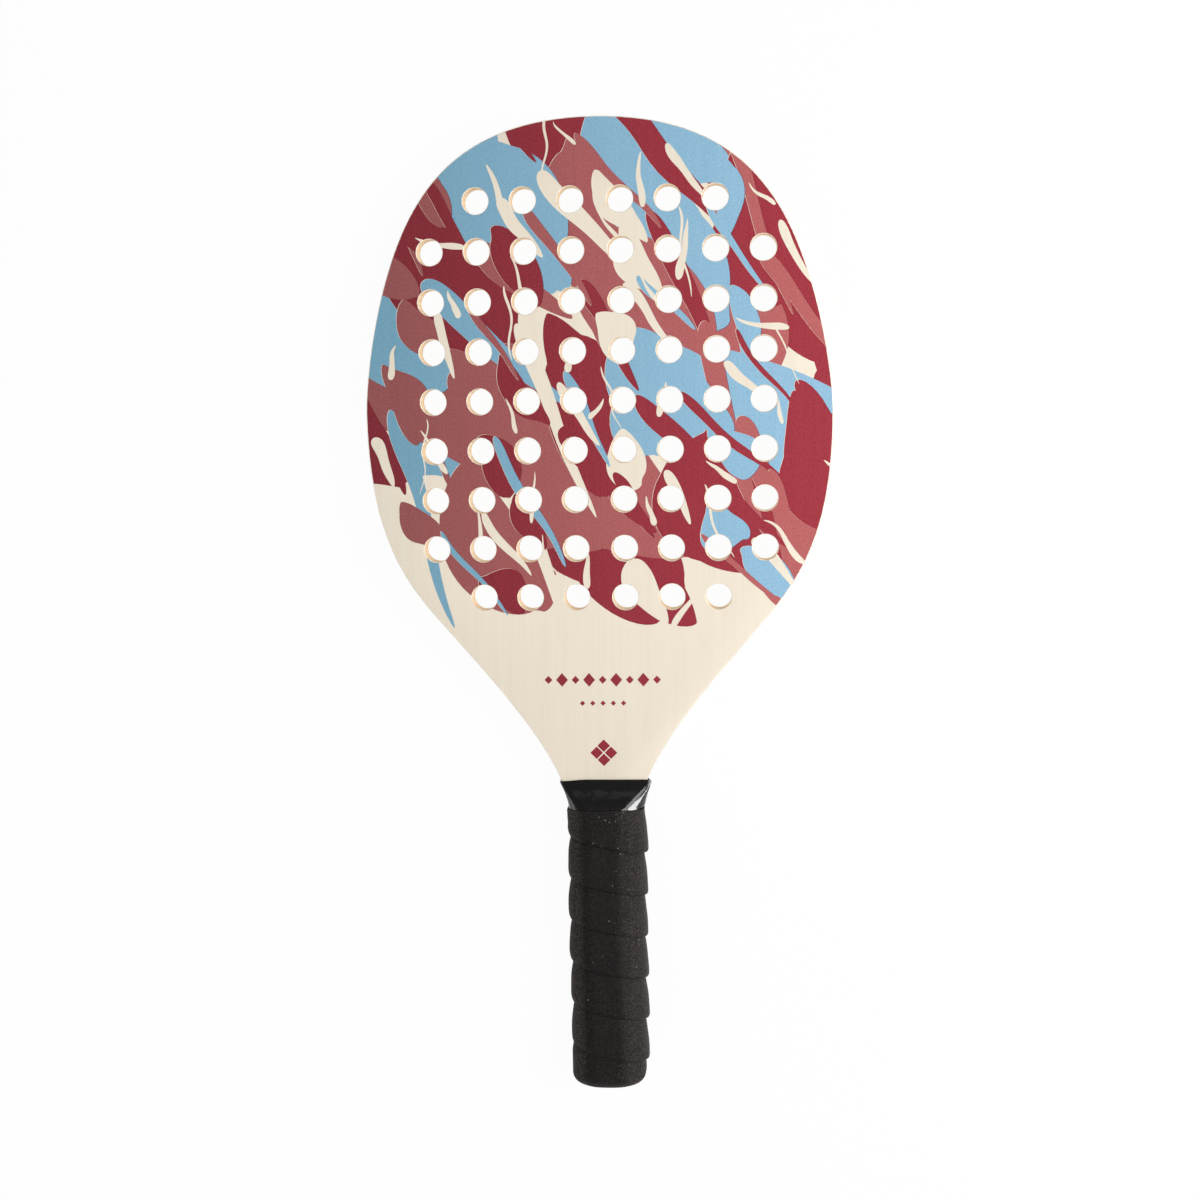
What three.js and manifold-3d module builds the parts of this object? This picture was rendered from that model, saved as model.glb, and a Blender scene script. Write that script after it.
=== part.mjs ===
// Beach tennis racket: a drilled plywood blade whose tang runs on as the middle of a wooden handle,
// with a scale glued on each side, a sleeve over the neck, a spiral-wound grip band and an end cap.
// Units are millimetres. The racket lies on its back: +Y points to the crown, the front face looks up.

import * as THREE from "three";
import { mergeGeometries, mergeVertices } from "three/addons/utils/BufferGeometryUtils.js";
import Module from "manifold-3d";

const wasm = await Module();
wasm.setup();

// Gaps and tolerances
const fitClearance = 0.3; // between pieces that are pushed or wound over each other
const glueLine = 0.1; // between pieces that are glued face to face
const cutOverrun = 2; // how far a cutting solid runs past the one it cuts
const weldTolerance = 1e-4; // vertices closer than this are one

// Blade
const headWidth = 223.6;
const bladeLength = 338; // from the crown down to where the tang runs parallel
const bladeThickness = 10;
const rimRadius = 0.8;
const rimRoundSteps = 2;
const plyCount = 5;
const tangWidth = 32.4;
const tangLength = 128.2;

// The rim's right side, from the crown down: each node as a share of half the head's width and of the
// blade's length, with the way the rim heads there, in degrees below straight across
const rimNodeShares = [
  { across: 0, down: 0, heading: 0 },
  { across: 0.756, down: 0.1154, heading: 55.7 },
  { across: 1, down: 0.4089, heading: 90 },
  { across: 0.6646, down: 0.7213, heading: 130.7 },
];
// Each stretch's two curve handles, as shares of the straight distance between its nodes
const rimHandleShares = [
  [0.592, 0.178],
  [0.342, 0.169],
  [0.573, 0.246],
  [0.331, 0.259],
];
const rimSteps = 11; // straight steps in each stretch

// Hole pattern
const holeBore = 12.5;
const holeRows = 9;
const holeColumnsEachSide = 4;
const columnPitchShare = 0.1006; // of the head's width
const centreGapShare = 0.1051; // of the head's width, between the two columns beside the centre line
const rowPitchShare = 0.0698; // of the blade's length
const middleRowShare = 0.3926; // of the blade's length, from the crown down to the middle row
const holeToRim = 6; // wood left between a hole and the rim, or the hole is left out
const holeSides = 12;

// Handle
const scaleThickness = 6.9;
const scaleLand = 1.1; // straight side left on a scale under its bevel
const bevelWidth = 7.5;
const scaleTip = 0.4; // thickness of the scale where its ramp runs out on the blade
const neckSteps = 9;

// Neck sleeve
const sleeveWall = 0.5;
const sleeveRise = 21.3; // from the start of the tang up to the sleeve's mouth
const sleeveTuck = 4; // how far the sleeve runs under the grip band
const sleeveSteps = 9;

// Grip band
const bandRise = 7.6; // from the start of the tang up to the band's trimmed top edge
const bandWidth = 26;
const bandPitch = 21.06;
const bandThickness = 0.8;
const bandTurnGap = 0.45; // left between a turn and the one that it laps over
const bandEdgeEase = 0.3;
const bandTip = 3; // width of the band where its trimmed ends stop
const bandFlat = 0.5; // depth of the flat that the racket rests on, under the band
const bandStartSteps = 13; // points of the handle's section from its right side to the winding's start
const climbStartShare = 0.7; // the first turn lies flat this far, then climbs onto its own start

// End cap
const capThickness = 5.5;
const capOverhang = 0.5; // past the first turn of the band
const capEdgeRadius = 4;
const capEdgeSteps = 4;

// Heights along the racket, from the butt up
const coreEnd = capThickness + fitClearance;
const tangHead = coreEnd + tangLength;
const crown = tangHead + bladeLength;
const sleeveMouth = tangHead + sleeveRise;
const bandTop = tangHead + bandRise;
const sleeveEnd = bandTop - sleeveTuck;
const racketLength = crown;

// Distances from the middle plane of the blade
const bladeFace = bladeThickness / 2;
const scaleSeat = bladeFace + glueLine;
const plyThickness = (bladeThickness - (plyCount - 1) * glueLine) / plyCount;

// The closed solid of a geometry
function solidOf(geometry) {
  const bare = geometry.clone();
  bare.deleteAttribute("normal");
  bare.deleteAttribute("uv");
  const welded = mergeVertices(bare, weldTolerance);
  const triVerts = new Uint32Array(welded.index.array);
  const vertProperties = welded.attributes.position.array;
  return new wasm.Manifold(new wasm.Mesh({ numProp: 3, vertProperties, triVerts }));
}

// The geometry of a closed solid
function geometryOf(solid) {
  const { vertProperties, triVerts } = solid.getMesh();
  const geometry = new THREE.BufferGeometry();
  geometry.setAttribute("position", new THREE.BufferAttribute(vertProperties, 3));
  geometry.setIndex(new THREE.BufferAttribute(triVerts, 1));
  geometry.computeVertexNormals();
  return geometry;
}

function geometryFrom(points, faces) {
  const geometry = new THREE.BufferGeometry().setFromPoints(points);
  geometry.setIndex(faces);
  geometry.computeVertexNormals();
  return geometry;
}

// The side faces between neighbouring rings of one length, each ring turning about the way they advance
function wallFaces(rings, first = 0) {
  const size = rings[0].length;
  const faces = [];
  for (let k = 0; k < rings.length - 1; k++) {
    for (let i = 0; i < size; i++) {
      const here = first + k * size + i;
      const beside = first + k * size + ((i + 1) % size);
      faces.push(here, beside, beside + size, here, beside + size, here + size);
    }
  }
  return faces;
}

// A closed body through rings of points, with flat ends
function loft(rings) {
  const size = rings[0].length;
  const last = (rings.length - 1) * size;
  const faces = wallFaces(rings);
  for (let i = 1; i < size - 1; i++) {
    faces.push(0, i + 1, i, last, last + i, last + i + 1);
  }
  return geometryFrom(rings.flat(), faces);
}

// An open-ended tube between outer rings and inner rings
function tube(outerRings, innerRings) {
  const size = outerRings[0].length;
  const inner = outerRings.length * size;
  const last = inner - size;
  const turnedInside = wallFaces(innerRings, inner).reverse();
  const faces = [...wallFaces(outerRings), ...turnedInside];
  for (let i = 0; i < size; i++) {
    const next = (i + 1) % size;
    faces.push(i, inner + i, next, next, inner + i, inner + next);
    faces.push(last + i, last + next, inner + last + i);
    faces.push(last + next, inner + last + next, inner + last + i);
  }
  return geometryFrom([...outerRings.flat(), ...innerRings.flat()], faces);
}

// The rim's right side as points, from the crown down to the end of the tang
function rimPoints() {
  const nodes = rimNodeShares.map(({ across, down, heading }) => {
    const at = new THREE.Vector2((across * headWidth) / 2, crown - down * bladeLength);
    return { at, way: wayOf(heading) };
  });
  nodes.push({ at: new THREE.Vector2(tangWidth / 2, tangHead), way: wayOf(90) });
  const points = [nodes[0].at];
  rimHandleShares.forEach(([leave, arrive], k) => {
    const from = nodes[k];
    const to = nodes[k + 1];
    const reach = from.at.distanceTo(to.at);
    const leaving = from.at.clone().addScaledVector(from.way, leave * reach);
    const arriving = to.at.clone().addScaledVector(to.way, -arrive * reach);
    const curve = new THREE.CubicBezierCurve(from.at, leaving, arriving, to.at);
    points.push(...curve.getPoints(rimSteps).slice(1));
  });
  points.push(new THREE.Vector2(tangWidth / 2, coreEnd));
  return points;
}

// The unit direction that heads so many degrees below straight across
function wayOf(heading) {
  const angle = THREE.MathUtils.degToRad(heading);
  return new THREE.Vector2(Math.cos(angle), -Math.sin(angle));
}

const rim = rimPoints();

// Half the blade's width at a height on the neck or the tang
function halfWidthAt(y) {
  const lower = rim.findIndex((point) => point.y <= y);
  if (lower < 1) return tangWidth / 2;
  const above = rim[lower - 1];
  const below = rim[lower];
  return THREE.MathUtils.mapLinear(y, below.y, above.y, below.x, above.x);
}

// The least distance from a point on the blade to its rim
function distanceToRim(x, y) {
  const point = new THREE.Vector3(Math.abs(x), y, 0);
  const nearest = new THREE.Vector3();
  const distances = rim.slice(1).map((end, k) => {
    const start = new THREE.Vector3(rim[k].x, rim[k].y, 0);
    const stretch = new THREE.Line3(start, new THREE.Vector3(end.x, end.y, 0));
    return stretch.closestPointToPoint(point, true, nearest).distanceTo(point);
  });
  return Math.min(...distances);
}

// The centres of the holes that leave enough wood at the rim
function holeCentres() {
  const centres = [];
  for (let row = 0; row < holeRows; row++) {
    const rowsDown = row - (holeRows - 1) / 2;
    const y = crown - (middleRowShare + rowsDown * rowPitchShare) * bladeLength;
    for (let column = 0; column < holeColumnsEachSide; column++) {
      const x = (centreGapShare / 2 + column * columnPitchShare) * headWidth;
      const wood = distanceToRim(x, y) - holeBore / 2;
      if (wood >= holeToRim) centres.push([x, y], [-x, y]);
    }
  }
  return centres;
}

// The drilled blade with its rounded rim, before it is parted into plies
function drilledBlade() {
  const left = rim.slice(1).reverse().map(({ x, y }) => new THREE.Vector2(-x, y));
  const outline = new THREE.Shape([...rim, ...left]);
  const blank = new THREE.ExtrudeGeometry(outline, {
    depth: bladeThickness - 2 * rimRadius,
    bevelThickness: rimRadius,
    bevelSize: rimRadius,
    bevelOffset: -rimRadius,
    bevelSegments: rimRoundSteps,
  });
  blank.translate(0, 0, rimRadius - bladeFace);
  const drillLength = bladeThickness + 2 * cutOverrun;
  const drills = holeCentres().map(([x, y]) => {
    const drill = new THREE.CylinderGeometry(holeBore / 2, holeBore / 2, drillLength, holeSides);
    return drill.rotateX(Math.PI / 2).translate(x, y, 0);
  });
  return solidOf(blank).subtract(solidOf(mergeGeometries(drills)));
}

// The blade parted at its glue lines: both face plies, and the inner plies as one core
function bladePlies() {
  const blade = drilledBlade();
  const partAt = bladeFace - plyThickness;
  const reach = bladeFace + cutOverrun;
  const layer = (low, high) => {
    const wide = headWidth + 2 * cutOverrun;
    const long = racketLength + 2 * cutOverrun;
    const block = new THREE.BoxGeometry(wide, long, high - low);
    block.translate(0, racketLength / 2, (low + high) / 2);
    return geometryOf(blade.intersect(solidOf(block)));
  };
  return {
    front: layer(partAt, reach),
    core: layer(glueLine - partAt, partAt - glueLine),
    back: layer(-reach, -partAt),
  };
}

// How thick the scales are at a height: full down the handle, then a scooped ramp onto the blade
function scaleHeightAt(y) {
  const rampFoot = bandTop + fitClearance;
  const climbed = (sleeveMouth - y) / (sleeveMouth - rampFoot);
  const share = THREE.MathUtils.clamp(climbed, 0, 1);
  return scaleThickness * (1 - Math.cos((share * Math.PI) / 2));
}

// The height at which the ramp is down to the thickness of the scale's tip
function scaleHead() {
  const rampFoot = bandTop + fitClearance;
  const share = Math.acos(1 - scaleTip / scaleThickness) / (Math.PI / 2);
  return sleeveMouth - share * (sleeveMouth - rampFoot);
}

// One quarter of the handle's bevelled section, from its side round to its face, with eased corners
function quarterSection(y) {
  const height = scaleHeightAt(y);
  const share = Math.max(height, scaleTip) / scaleThickness;
  const side = halfWidthAt(y);
  const face = scaleSeat + height;
  const low = new THREE.Vector2(side, face - (scaleThickness - scaleLand) * share);
  const high = new THREE.Vector2(side - bevelWidth * share, face);
  const ease = scaleLand * share;
  const slope = high.clone().sub(low).normalize();
  return [
    new THREE.Vector2(low.x, low.y - ease),
    low.clone().addScaledVector(slope, ease),
    low.clone().lerp(high, 1 / 2),
    high.clone().addScaledVector(slope, -ease),
    new THREE.Vector2(high.x - ease, high.y),
  ];
}

// The front half of the section across the handle as (x, z) points, from its right side to its left
function frontSection(y) {
  const right = quarterSection(y);
  const left = right.map((point) => new THREE.Vector2(-point.x, point.y)).reverse();
  return [...right, new THREE.Vector2(0, scaleSeat + scaleHeightAt(y)), ...left];
}

// The whole section across the handle, from its right side round over the front
function handleSection(y) {
  const front = frontSection(y);
  const back = front.map((point) => new THREE.Vector2(-point.x, -point.y));
  const side = new THREE.Vector2(halfWidthAt(y), 0);
  return [side, ...front, side.clone().negate(), ...back];
}

// For each point of a section, the move that shifts both edges beside it out by one
function outwardMoves(section) {
  const normals = section.map((point, i) => {
    const along = section[(i + 1) % section.length].clone().sub(point).normalize();
    return new THREE.Vector2(along.y, -along.x);
  });
  return normals.map((normal, i) => {
    const before = normals[(i + normals.length - 1) % normals.length];
    return normal.clone().add(before).divideScalar(1 + normal.dot(before));
  });
}

// The handle's section at a height, grown by a margin, as a ring in space
function handleRing(y, margin) {
  const section = handleSection(y);
  const moves = outwardMoves(section);
  return section.map((point, i) => {
    const moved = point.addScaledVector(moves[i], margin);
    return new THREE.Vector3(moved.x, y, moved.y);
  });
}

// Heights spread evenly from one down to another
function stationsBetween(top, bottom, steps) {
  return Array.from({ length: steps + 1 }, (_, k) => THREE.MathUtils.lerp(top, bottom, k / steps));
}

// A wooden scale on the front of the tang, bevelled along its sides, with a ramp at its head
function handleScale() {
  const stations = [...stationsBetween(scaleHead(), tangHead, neckSteps), coreEnd];
  const rings = stations.map((y) => {
    return frontSection(y).map((point) => new THREE.Vector3(point.x, y, Math.max(point.y, scaleSeat)));
  });
  return loft(rings);
}

// The thin sleeve over the neck, from its mouth on the blade down to its end under the band
function neckSleeve() {
  const stations = stationsBetween(sleeveMouth, sleeveEnd, sleeveSteps);
  const outer = stations.map((y) => handleRing(y, fitClearance + sleeveWall));
  const inner = stations.map((y) => handleRing(y, fitClearance));
  return tube(outer, inner);
}

// How far round the handle each point of its section lies, in turns
function turnShares() {
  const section = handleSection(coreEnd);
  const lengths = section.map((point, i) => point.distanceTo(section[(i + 1) % section.length]));
  const perimeter = lengths.reduce((sum, length) => sum + length, 0);
  let travelled = 0;
  return lengths.map((length) => {
    const share = travelled / perimeter;
    travelled += length;
    return share;
  });
}

// The clearance under the band at a height: more towards its top, where it covers the sleeve
function bandSeatAt(y) {
  const overSleeve = Math.max(0, (y - (bandTop - bandWidth)) / bandWidth);
  return fitClearance + (sleeveWall + fitClearance) * overSleeve;
}

// The sections of the wound band. Its lower edge climbs by one pitch a turn and lies on the turn
// below, and it is trimmed level at the handle's end and at its own top edge.
function bandSections() {
  const shares = turnShares();
  const count = shares.length;
  const firstEdge = coreEnd + bandTip - bandWidth;
  const sections = [];
  for (let step = 0; ; step++) {
    const at = (bandStartSteps + step) % count;
    const rounds = Math.floor((bandStartSteps + step) / count);
    const turns = rounds + shares[at] - shares[bandStartSteps];
    const lowerEdge = firstEdge + bandPitch * turns;
    if (lowerEdge > bandTop - bandTip) return sections;
    const low = Math.max(lowerEdge, coreEnd);
    const high = Math.min(lowerEdge + bandWidth, bandTop);
    const outward = (depth) => handleRing(low, depth)[at].sub(handleRing(low, 0)[at]);
    const upperSeat = handleRing(high, bandSeatAt(high))[at].setY(lowerEdge + bandWidth);
    const below = sections[step - count];
    const lowSeat = below
      ? seatOnTurnBelow(below, upperSeat, low, outward(bandTurnGap))
      : handleRing(low, bandSeatAt(low) + firstTurnLift(turns))[at];
    const place = (y, depth) => pointAtHeight(lowSeat, upperSeat, y).add(outward(depth));
    sections.push([
      lowSeat,
      place(low, bandThickness - bandEdgeEase),
      place(low + bandEdgeEase, bandThickness),
      place(high - bandEdgeEase, bandThickness),
      place(high, bandThickness - bandEdgeEase),
      place(high, 0),
    ]);
  }
}

// The seat of a turn's lower edge, clear of the outer face and of the top corner of the turn below
function seatOnTurnBelow(below, upperSeat, low, clearance) {
  const overFace = pointAtHeight(below[2], below[3], low).add(clearance);
  const overCorner = pointAtHeight(below[3].clone().add(clearance), upperSeat, low);
  const cornerStandsOut = overCorner.clone().sub(overFace).dot(clearance) > 0;
  return cornerStandsOut ? overCorner : overFace;
}

// How far the first turn's lower edge has climbed onto its own start
function firstTurnLift(turns) {
  const lift = (bandThickness + bandTurnGap) / (1 - bandTip / bandWidth);
  return lift * THREE.MathUtils.smoothstep(turns, climbStartShare, 1);
}

// The point at a height on the line through two points
function pointAtHeight(from, to, y) {
  return from.clone().lerp(to, (y - from.y) / (to.y - from.y));
}

// The band sections, cut flat underneath
function cutFlat(sections) {
  const lowest = Math.min(...sections.flat().map((point) => point.z));
  return sections.map((ring) => {
    return ring.map((point) => point.clone().setZ(Math.max(point.z, lowest + bandFlat)));
  });
}

// The least distance between band sections that lie one turn apart
function leastGapBetweenTurns(sections, stepsPerTurn) {
  const nearest = new THREE.Vector3();
  const gapFrom = (points, ring) => {
    const edges = ring.map((point, i) => new THREE.Line3(point, ring[(i + 1) % ring.length]));
    const gaps = points.flatMap((point) =>
      edges.map((edge) => edge.closestPointToPoint(point, true, nearest).distanceTo(point)),
    );
    return Math.min(...gaps);
  };
  const gaps = sections.slice(stepsPerTurn).map((above, k) => {
    const below = sections[k];
    return Math.min(gapFrom(above, below), gapFrom(below, above));
  });
  return Math.min(...gaps);
}

// The cap over the end of the handle, rounded over towards its flat end face
function buttCap() {
  const reach = fitClearance + bandThickness + capOverhang;
  const rings = [handleRing(coreEnd, reach).map((point) => point.setY(capThickness))];
  for (let step = 0; step <= capEdgeSteps; step++) {
    const angle = ((step / capEdgeSteps) * Math.PI) / 2;
    const inset = capEdgeRadius * (1 - Math.cos(angle));
    const height = capEdgeRadius * (1 - Math.sin(angle));
    rings.push(handleRing(coreEnd, reach - inset).map((point) => point.setY(height)));
  }
  return loft(rings);
}

// Finishes
const palePoplar = new THREE.MeshStandardMaterial({ color: "#ecdcc0", roughness: 0.65, metalness: 0 });
const crossPly = new THREE.MeshStandardMaterial({ color: "#d9bd90", roughness: 0.75, metalness: 0 });
const scaleWood = new THREE.MeshStandardMaterial({ color: "#cfae7c", roughness: 0.75, metalness: 0 });
const glossSleeve = new THREE.MeshStandardMaterial({ color: "#161416", roughness: 0.18, metalness: 0 });
const bandFoam = new THREE.MeshStandardMaterial({ color: "#292625", roughness: 0.85, metalness: 0 });
const capRubber = new THREE.MeshStandardMaterial({ color: "#242221", roughness: 0.7, metalness: 0 });

function named(name, geometry, material) {
  const mesh = new THREE.Mesh(geometry, material);
  mesh.name = name;
  return mesh;
}

const plies = bladePlies();
const blade = new THREE.Group();
blade.add(named("front_face_veneer", plies.front, palePoplar));
blade.add(named("core_plies", plies.core, crossPly));
blade.add(named("back_face_veneer", plies.back, palePoplar));

const sections = cutFlat(bandSections());
const band = named("grip_band", loft(sections), bandFoam);
const turnGap = leastGapBetweenTurns(sections, turnShares().length);
console.log("The grip band clears its own turns by", turnGap.toFixed(3), "mm");

const backScale = named("back_handle_scale", handleScale(), scaleWood);
backScale.rotation.y = Math.PI;
const handle = new THREE.Group();
handle.add(named("front_handle_scale", handleScale(), scaleWood));
handle.add(backScale);
handle.add(named("neck_sleeve", neckSleeve(), glossSleeve));
handle.add(band);
handle.add(named("butt_cap", buttCap(), capRubber));

// The origin lies under the middle of the racket, on the surface that the grip band rests on
const lowest = Math.min(...sections.flat().map((point) => point.z));
const racket = new THREE.Group();
racket.add(blade, handle);
racket.position.set(0, -racketLength / 2, -lowest);

const part = new THREE.Group();
part.add(racket);
export default part;
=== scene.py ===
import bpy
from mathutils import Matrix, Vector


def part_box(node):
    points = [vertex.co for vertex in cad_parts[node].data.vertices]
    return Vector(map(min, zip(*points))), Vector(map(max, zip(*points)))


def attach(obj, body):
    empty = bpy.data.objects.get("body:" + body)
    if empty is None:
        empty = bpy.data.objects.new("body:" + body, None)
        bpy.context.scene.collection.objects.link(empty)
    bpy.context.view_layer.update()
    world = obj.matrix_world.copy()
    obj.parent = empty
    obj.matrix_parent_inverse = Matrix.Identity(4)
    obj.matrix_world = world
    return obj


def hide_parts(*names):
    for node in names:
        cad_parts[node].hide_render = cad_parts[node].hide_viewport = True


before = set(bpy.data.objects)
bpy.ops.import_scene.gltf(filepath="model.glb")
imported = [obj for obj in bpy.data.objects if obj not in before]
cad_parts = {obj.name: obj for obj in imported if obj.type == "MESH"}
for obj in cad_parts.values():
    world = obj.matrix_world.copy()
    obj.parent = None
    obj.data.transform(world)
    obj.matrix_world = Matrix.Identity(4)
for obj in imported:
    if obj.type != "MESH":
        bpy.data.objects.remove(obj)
"""A beach tennis racket: drilled and printed plywood blade, neck sleeve and wound grip.

Sizes are in metres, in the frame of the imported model: x across the head, y from butt to crown, z up
out of the printed face. Only the print is laid out in millimetres.
"""
import logging
import math
import random
from collections.abc import Iterator
from contextlib import contextmanager
from dataclasses import dataclass, field
from enum import Enum

import bpy
from bpy.types import Material, NodeSocket, NodeTree, Object
from mathutils import Euler, Vector
from mathutils.geometry import delaunay_2d_cdt

Place = tuple[float, float, float]
Rgb = tuple[float, float, float]
Flat = tuple[float, float]
Ring = list[Vector]
Outputs = bpy.types.bpy_prop_collection
Fed = NodeSocket | Place | float | None
Finishes = dict[str, Material]

LOG = logging.getLogger("racket")
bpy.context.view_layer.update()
MM = 0.001
BODY = "root"
# How far a point of the foam lies below the next lap's edge, read by the foam finish to paint shade in
# the crease.
LAP_GAP = "lap_gap"
SIDE_FROM = 0.55  # the share of the half width from which a place counts as the handle's side


class Slot(Enum):
    """The record's material slots."""

    PRINTED = "printed_face"
    FACE_PLY = "face_ply"
    CROSS_PLY = "cross_ply"
    SLEEVE = "sleeve_vinyl"
    BAND = "band_foam"
    CAP = "cap_rubber"


class Ink(Enum):
    """What covers a patch of the printed face."""

    BARE = "bare"
    BURGUNDY = "burgundy"
    ROSE = "rose"
    BLUE = "blue"
    WARM_OVERLAP = "warm_overlap"
    COOL_OVERLAP = "cool_overlap"


class Pull(Enum):
    """Which loop of a motif is meant: its shape, or one of the two printed out of register."""

    SHAPE = "shape"
    LAP = "lap"
    GAP = "gap"


class Reach(Enum):
    """Which surfaces a light reaches."""

    ALL = "all"
    MATT = "matt"
    GLOSS = "gloss"


# Small helpers


def linear(red: int, green: int, blue: int) -> Rgb:
    """Turns a screen colour, from 0 to 255, into the linear values that shaders take."""
    shares = (red / 255, green / 255, blue / 255)
    return tuple(v / 12.92 if v <= 0.04045 else ((v + 0.055) / 1.055) ** 2.4 for v in shares)


def smooth(value: float, low: float, high: float) -> float:
    """Eases a value from 0 at low to 1 at high."""
    t = min(1.0, max(0.0, (value - low) / (high - low)))
    return t * t * (3 - 2 * t)


def take(piece: Object | None) -> None:
    """Makes one piece the only selected and active one.

    Args:
        piece: The piece, or None to leave nothing selected.
    """
    bpy.ops.object.select_all(action="DESELECT")
    if piece:
        piece.select_set(True)
        bpy.context.view_layer.objects.active = piece


def settle(piece: Object) -> None:
    """Puts a piece's place, turn and scale into its mesh."""
    take(piece)
    bpy.ops.object.transform_apply(location=True, rotation=True, scale=True)


@contextmanager
def editing(piece: Object, select: str = "SELECT", parts: str = "FACE") -> Iterator[None]:
    """Holds a piece in edit mode.

    Args:
        piece: The piece.
        select: What to do to all its parts first, SELECT or DESELECT.
        parts: Which sort of part is selected.

    Yields:
        Nothing.
    """
    take(piece)
    bpy.ops.object.mode_set(mode="EDIT")
    bpy.ops.mesh.select_mode(type=parts)
    bpy.ops.mesh.select_all(action=select)
    yield
    bpy.ops.object.mode_set(mode="OBJECT")


@contextmanager
def editing_end(piece: Object, side: int) -> Iterator[None]:
    """Holds a piece in edit mode with only its flat top or bottom selected.

    Args:
        piece: The piece.
        side: 1 for the top and -1 for the bottom.

    Yields:
        Nothing.
    """
    with editing(piece, "DESELECT"):
        pass
    for face in piece.data.polygons:
        face.select = face.normal.z * side > 0.9
    bpy.ops.object.mode_set(mode="EDIT")
    yield
    bpy.ops.object.mode_set(mode="OBJECT")


def face_outwards() -> None:
    """Turns every face of the piece in edit mode outwards."""
    bpy.ops.mesh.select_all(action="SELECT")
    bpy.ops.mesh.normals_make_consistent(inside=False)


def apply_modifier(piece: Object, kind: str, **settings: object) -> None:
    """Adds a modifier and applies it.

    Args:
        piece: The piece.
        kind: The modifier's type.
        settings: Its settings.
    """
    take(piece)
    modifier = piece.modifiers.new(kind.lower(), kind)
    for label, value in settings.items():
        setattr(modifier, label, value)
    bpy.ops.object.modifier_apply(modifier=modifier.name)


def finish_piece(
    piece: Object,
    materials: list[Material],
    stands_for: tuple[str, ...] = (),
    smooth_to: float = 0.0,
) -> Object:
    """Dresses a piece and ties it to the frame.

    Args:
        piece: The finished piece.
        materials: Its materials, in the order of its faces' material numbers.
        stands_for: The CAD nodes that it stands for.
        smooth_to: The angle in degrees up to which its edges shade smooth.

    Returns:
        The same piece.
    """
    if smooth_to:
        take(piece)
        bpy.ops.object.shade_smooth_by_angle(angle=math.radians(smooth_to))
    for material in materials:
        piece.data.materials.append(material)
    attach(piece, BODY)
    if stands_for:
        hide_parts(*stands_for)
    LOG.info("%s: %d faces", piece.name, len(piece.data.polygons))
    return piece


def tube_through(name: str, rings: list[Ring], gaps: list[list[float]] | None = None) -> Object:
    """Lays a grid primitive through rings of points, as a tube.

    Args:
        name: The new piece's name.
        rings: The rings, all of one length.
        gaps: A number for each point, which the finish reads as an attribute. With it the ends close.

    Returns:
        The new piece, its faces turned outwards.
    """
    take(None)
    bpy.ops.mesh.primitive_grid_add(x_subdivisions=len(rings[0]), y_subdivisions=len(rings) - 1, size=1)
    piece = bpy.context.object
    piece.name = piece.data.name = name
    flat = [value for ring in rings for point in ring + ring[:1] for value in point]
    piece.data.vertices.foreach_set("co", flat)
    if gaps:
        held = [value for row in gaps for value in row + row[:1]]
        piece.data.attributes.new(LAP_GAP, "FLOAT", "POINT").data.foreach_set("value", held)
    piece.data.update()
    with editing(piece, parts="EDGE"):
        bpy.ops.mesh.remove_doubles(threshold=1e-6)
        if gaps:
            face_outwards()
            bpy.ops.mesh.select_all(action="DESELECT")
            bpy.ops.mesh.select_non_manifold()
            bpy.ops.mesh.fill_holes(sides=0)
        face_outwards()
    return piece


# Shader nodes


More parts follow.
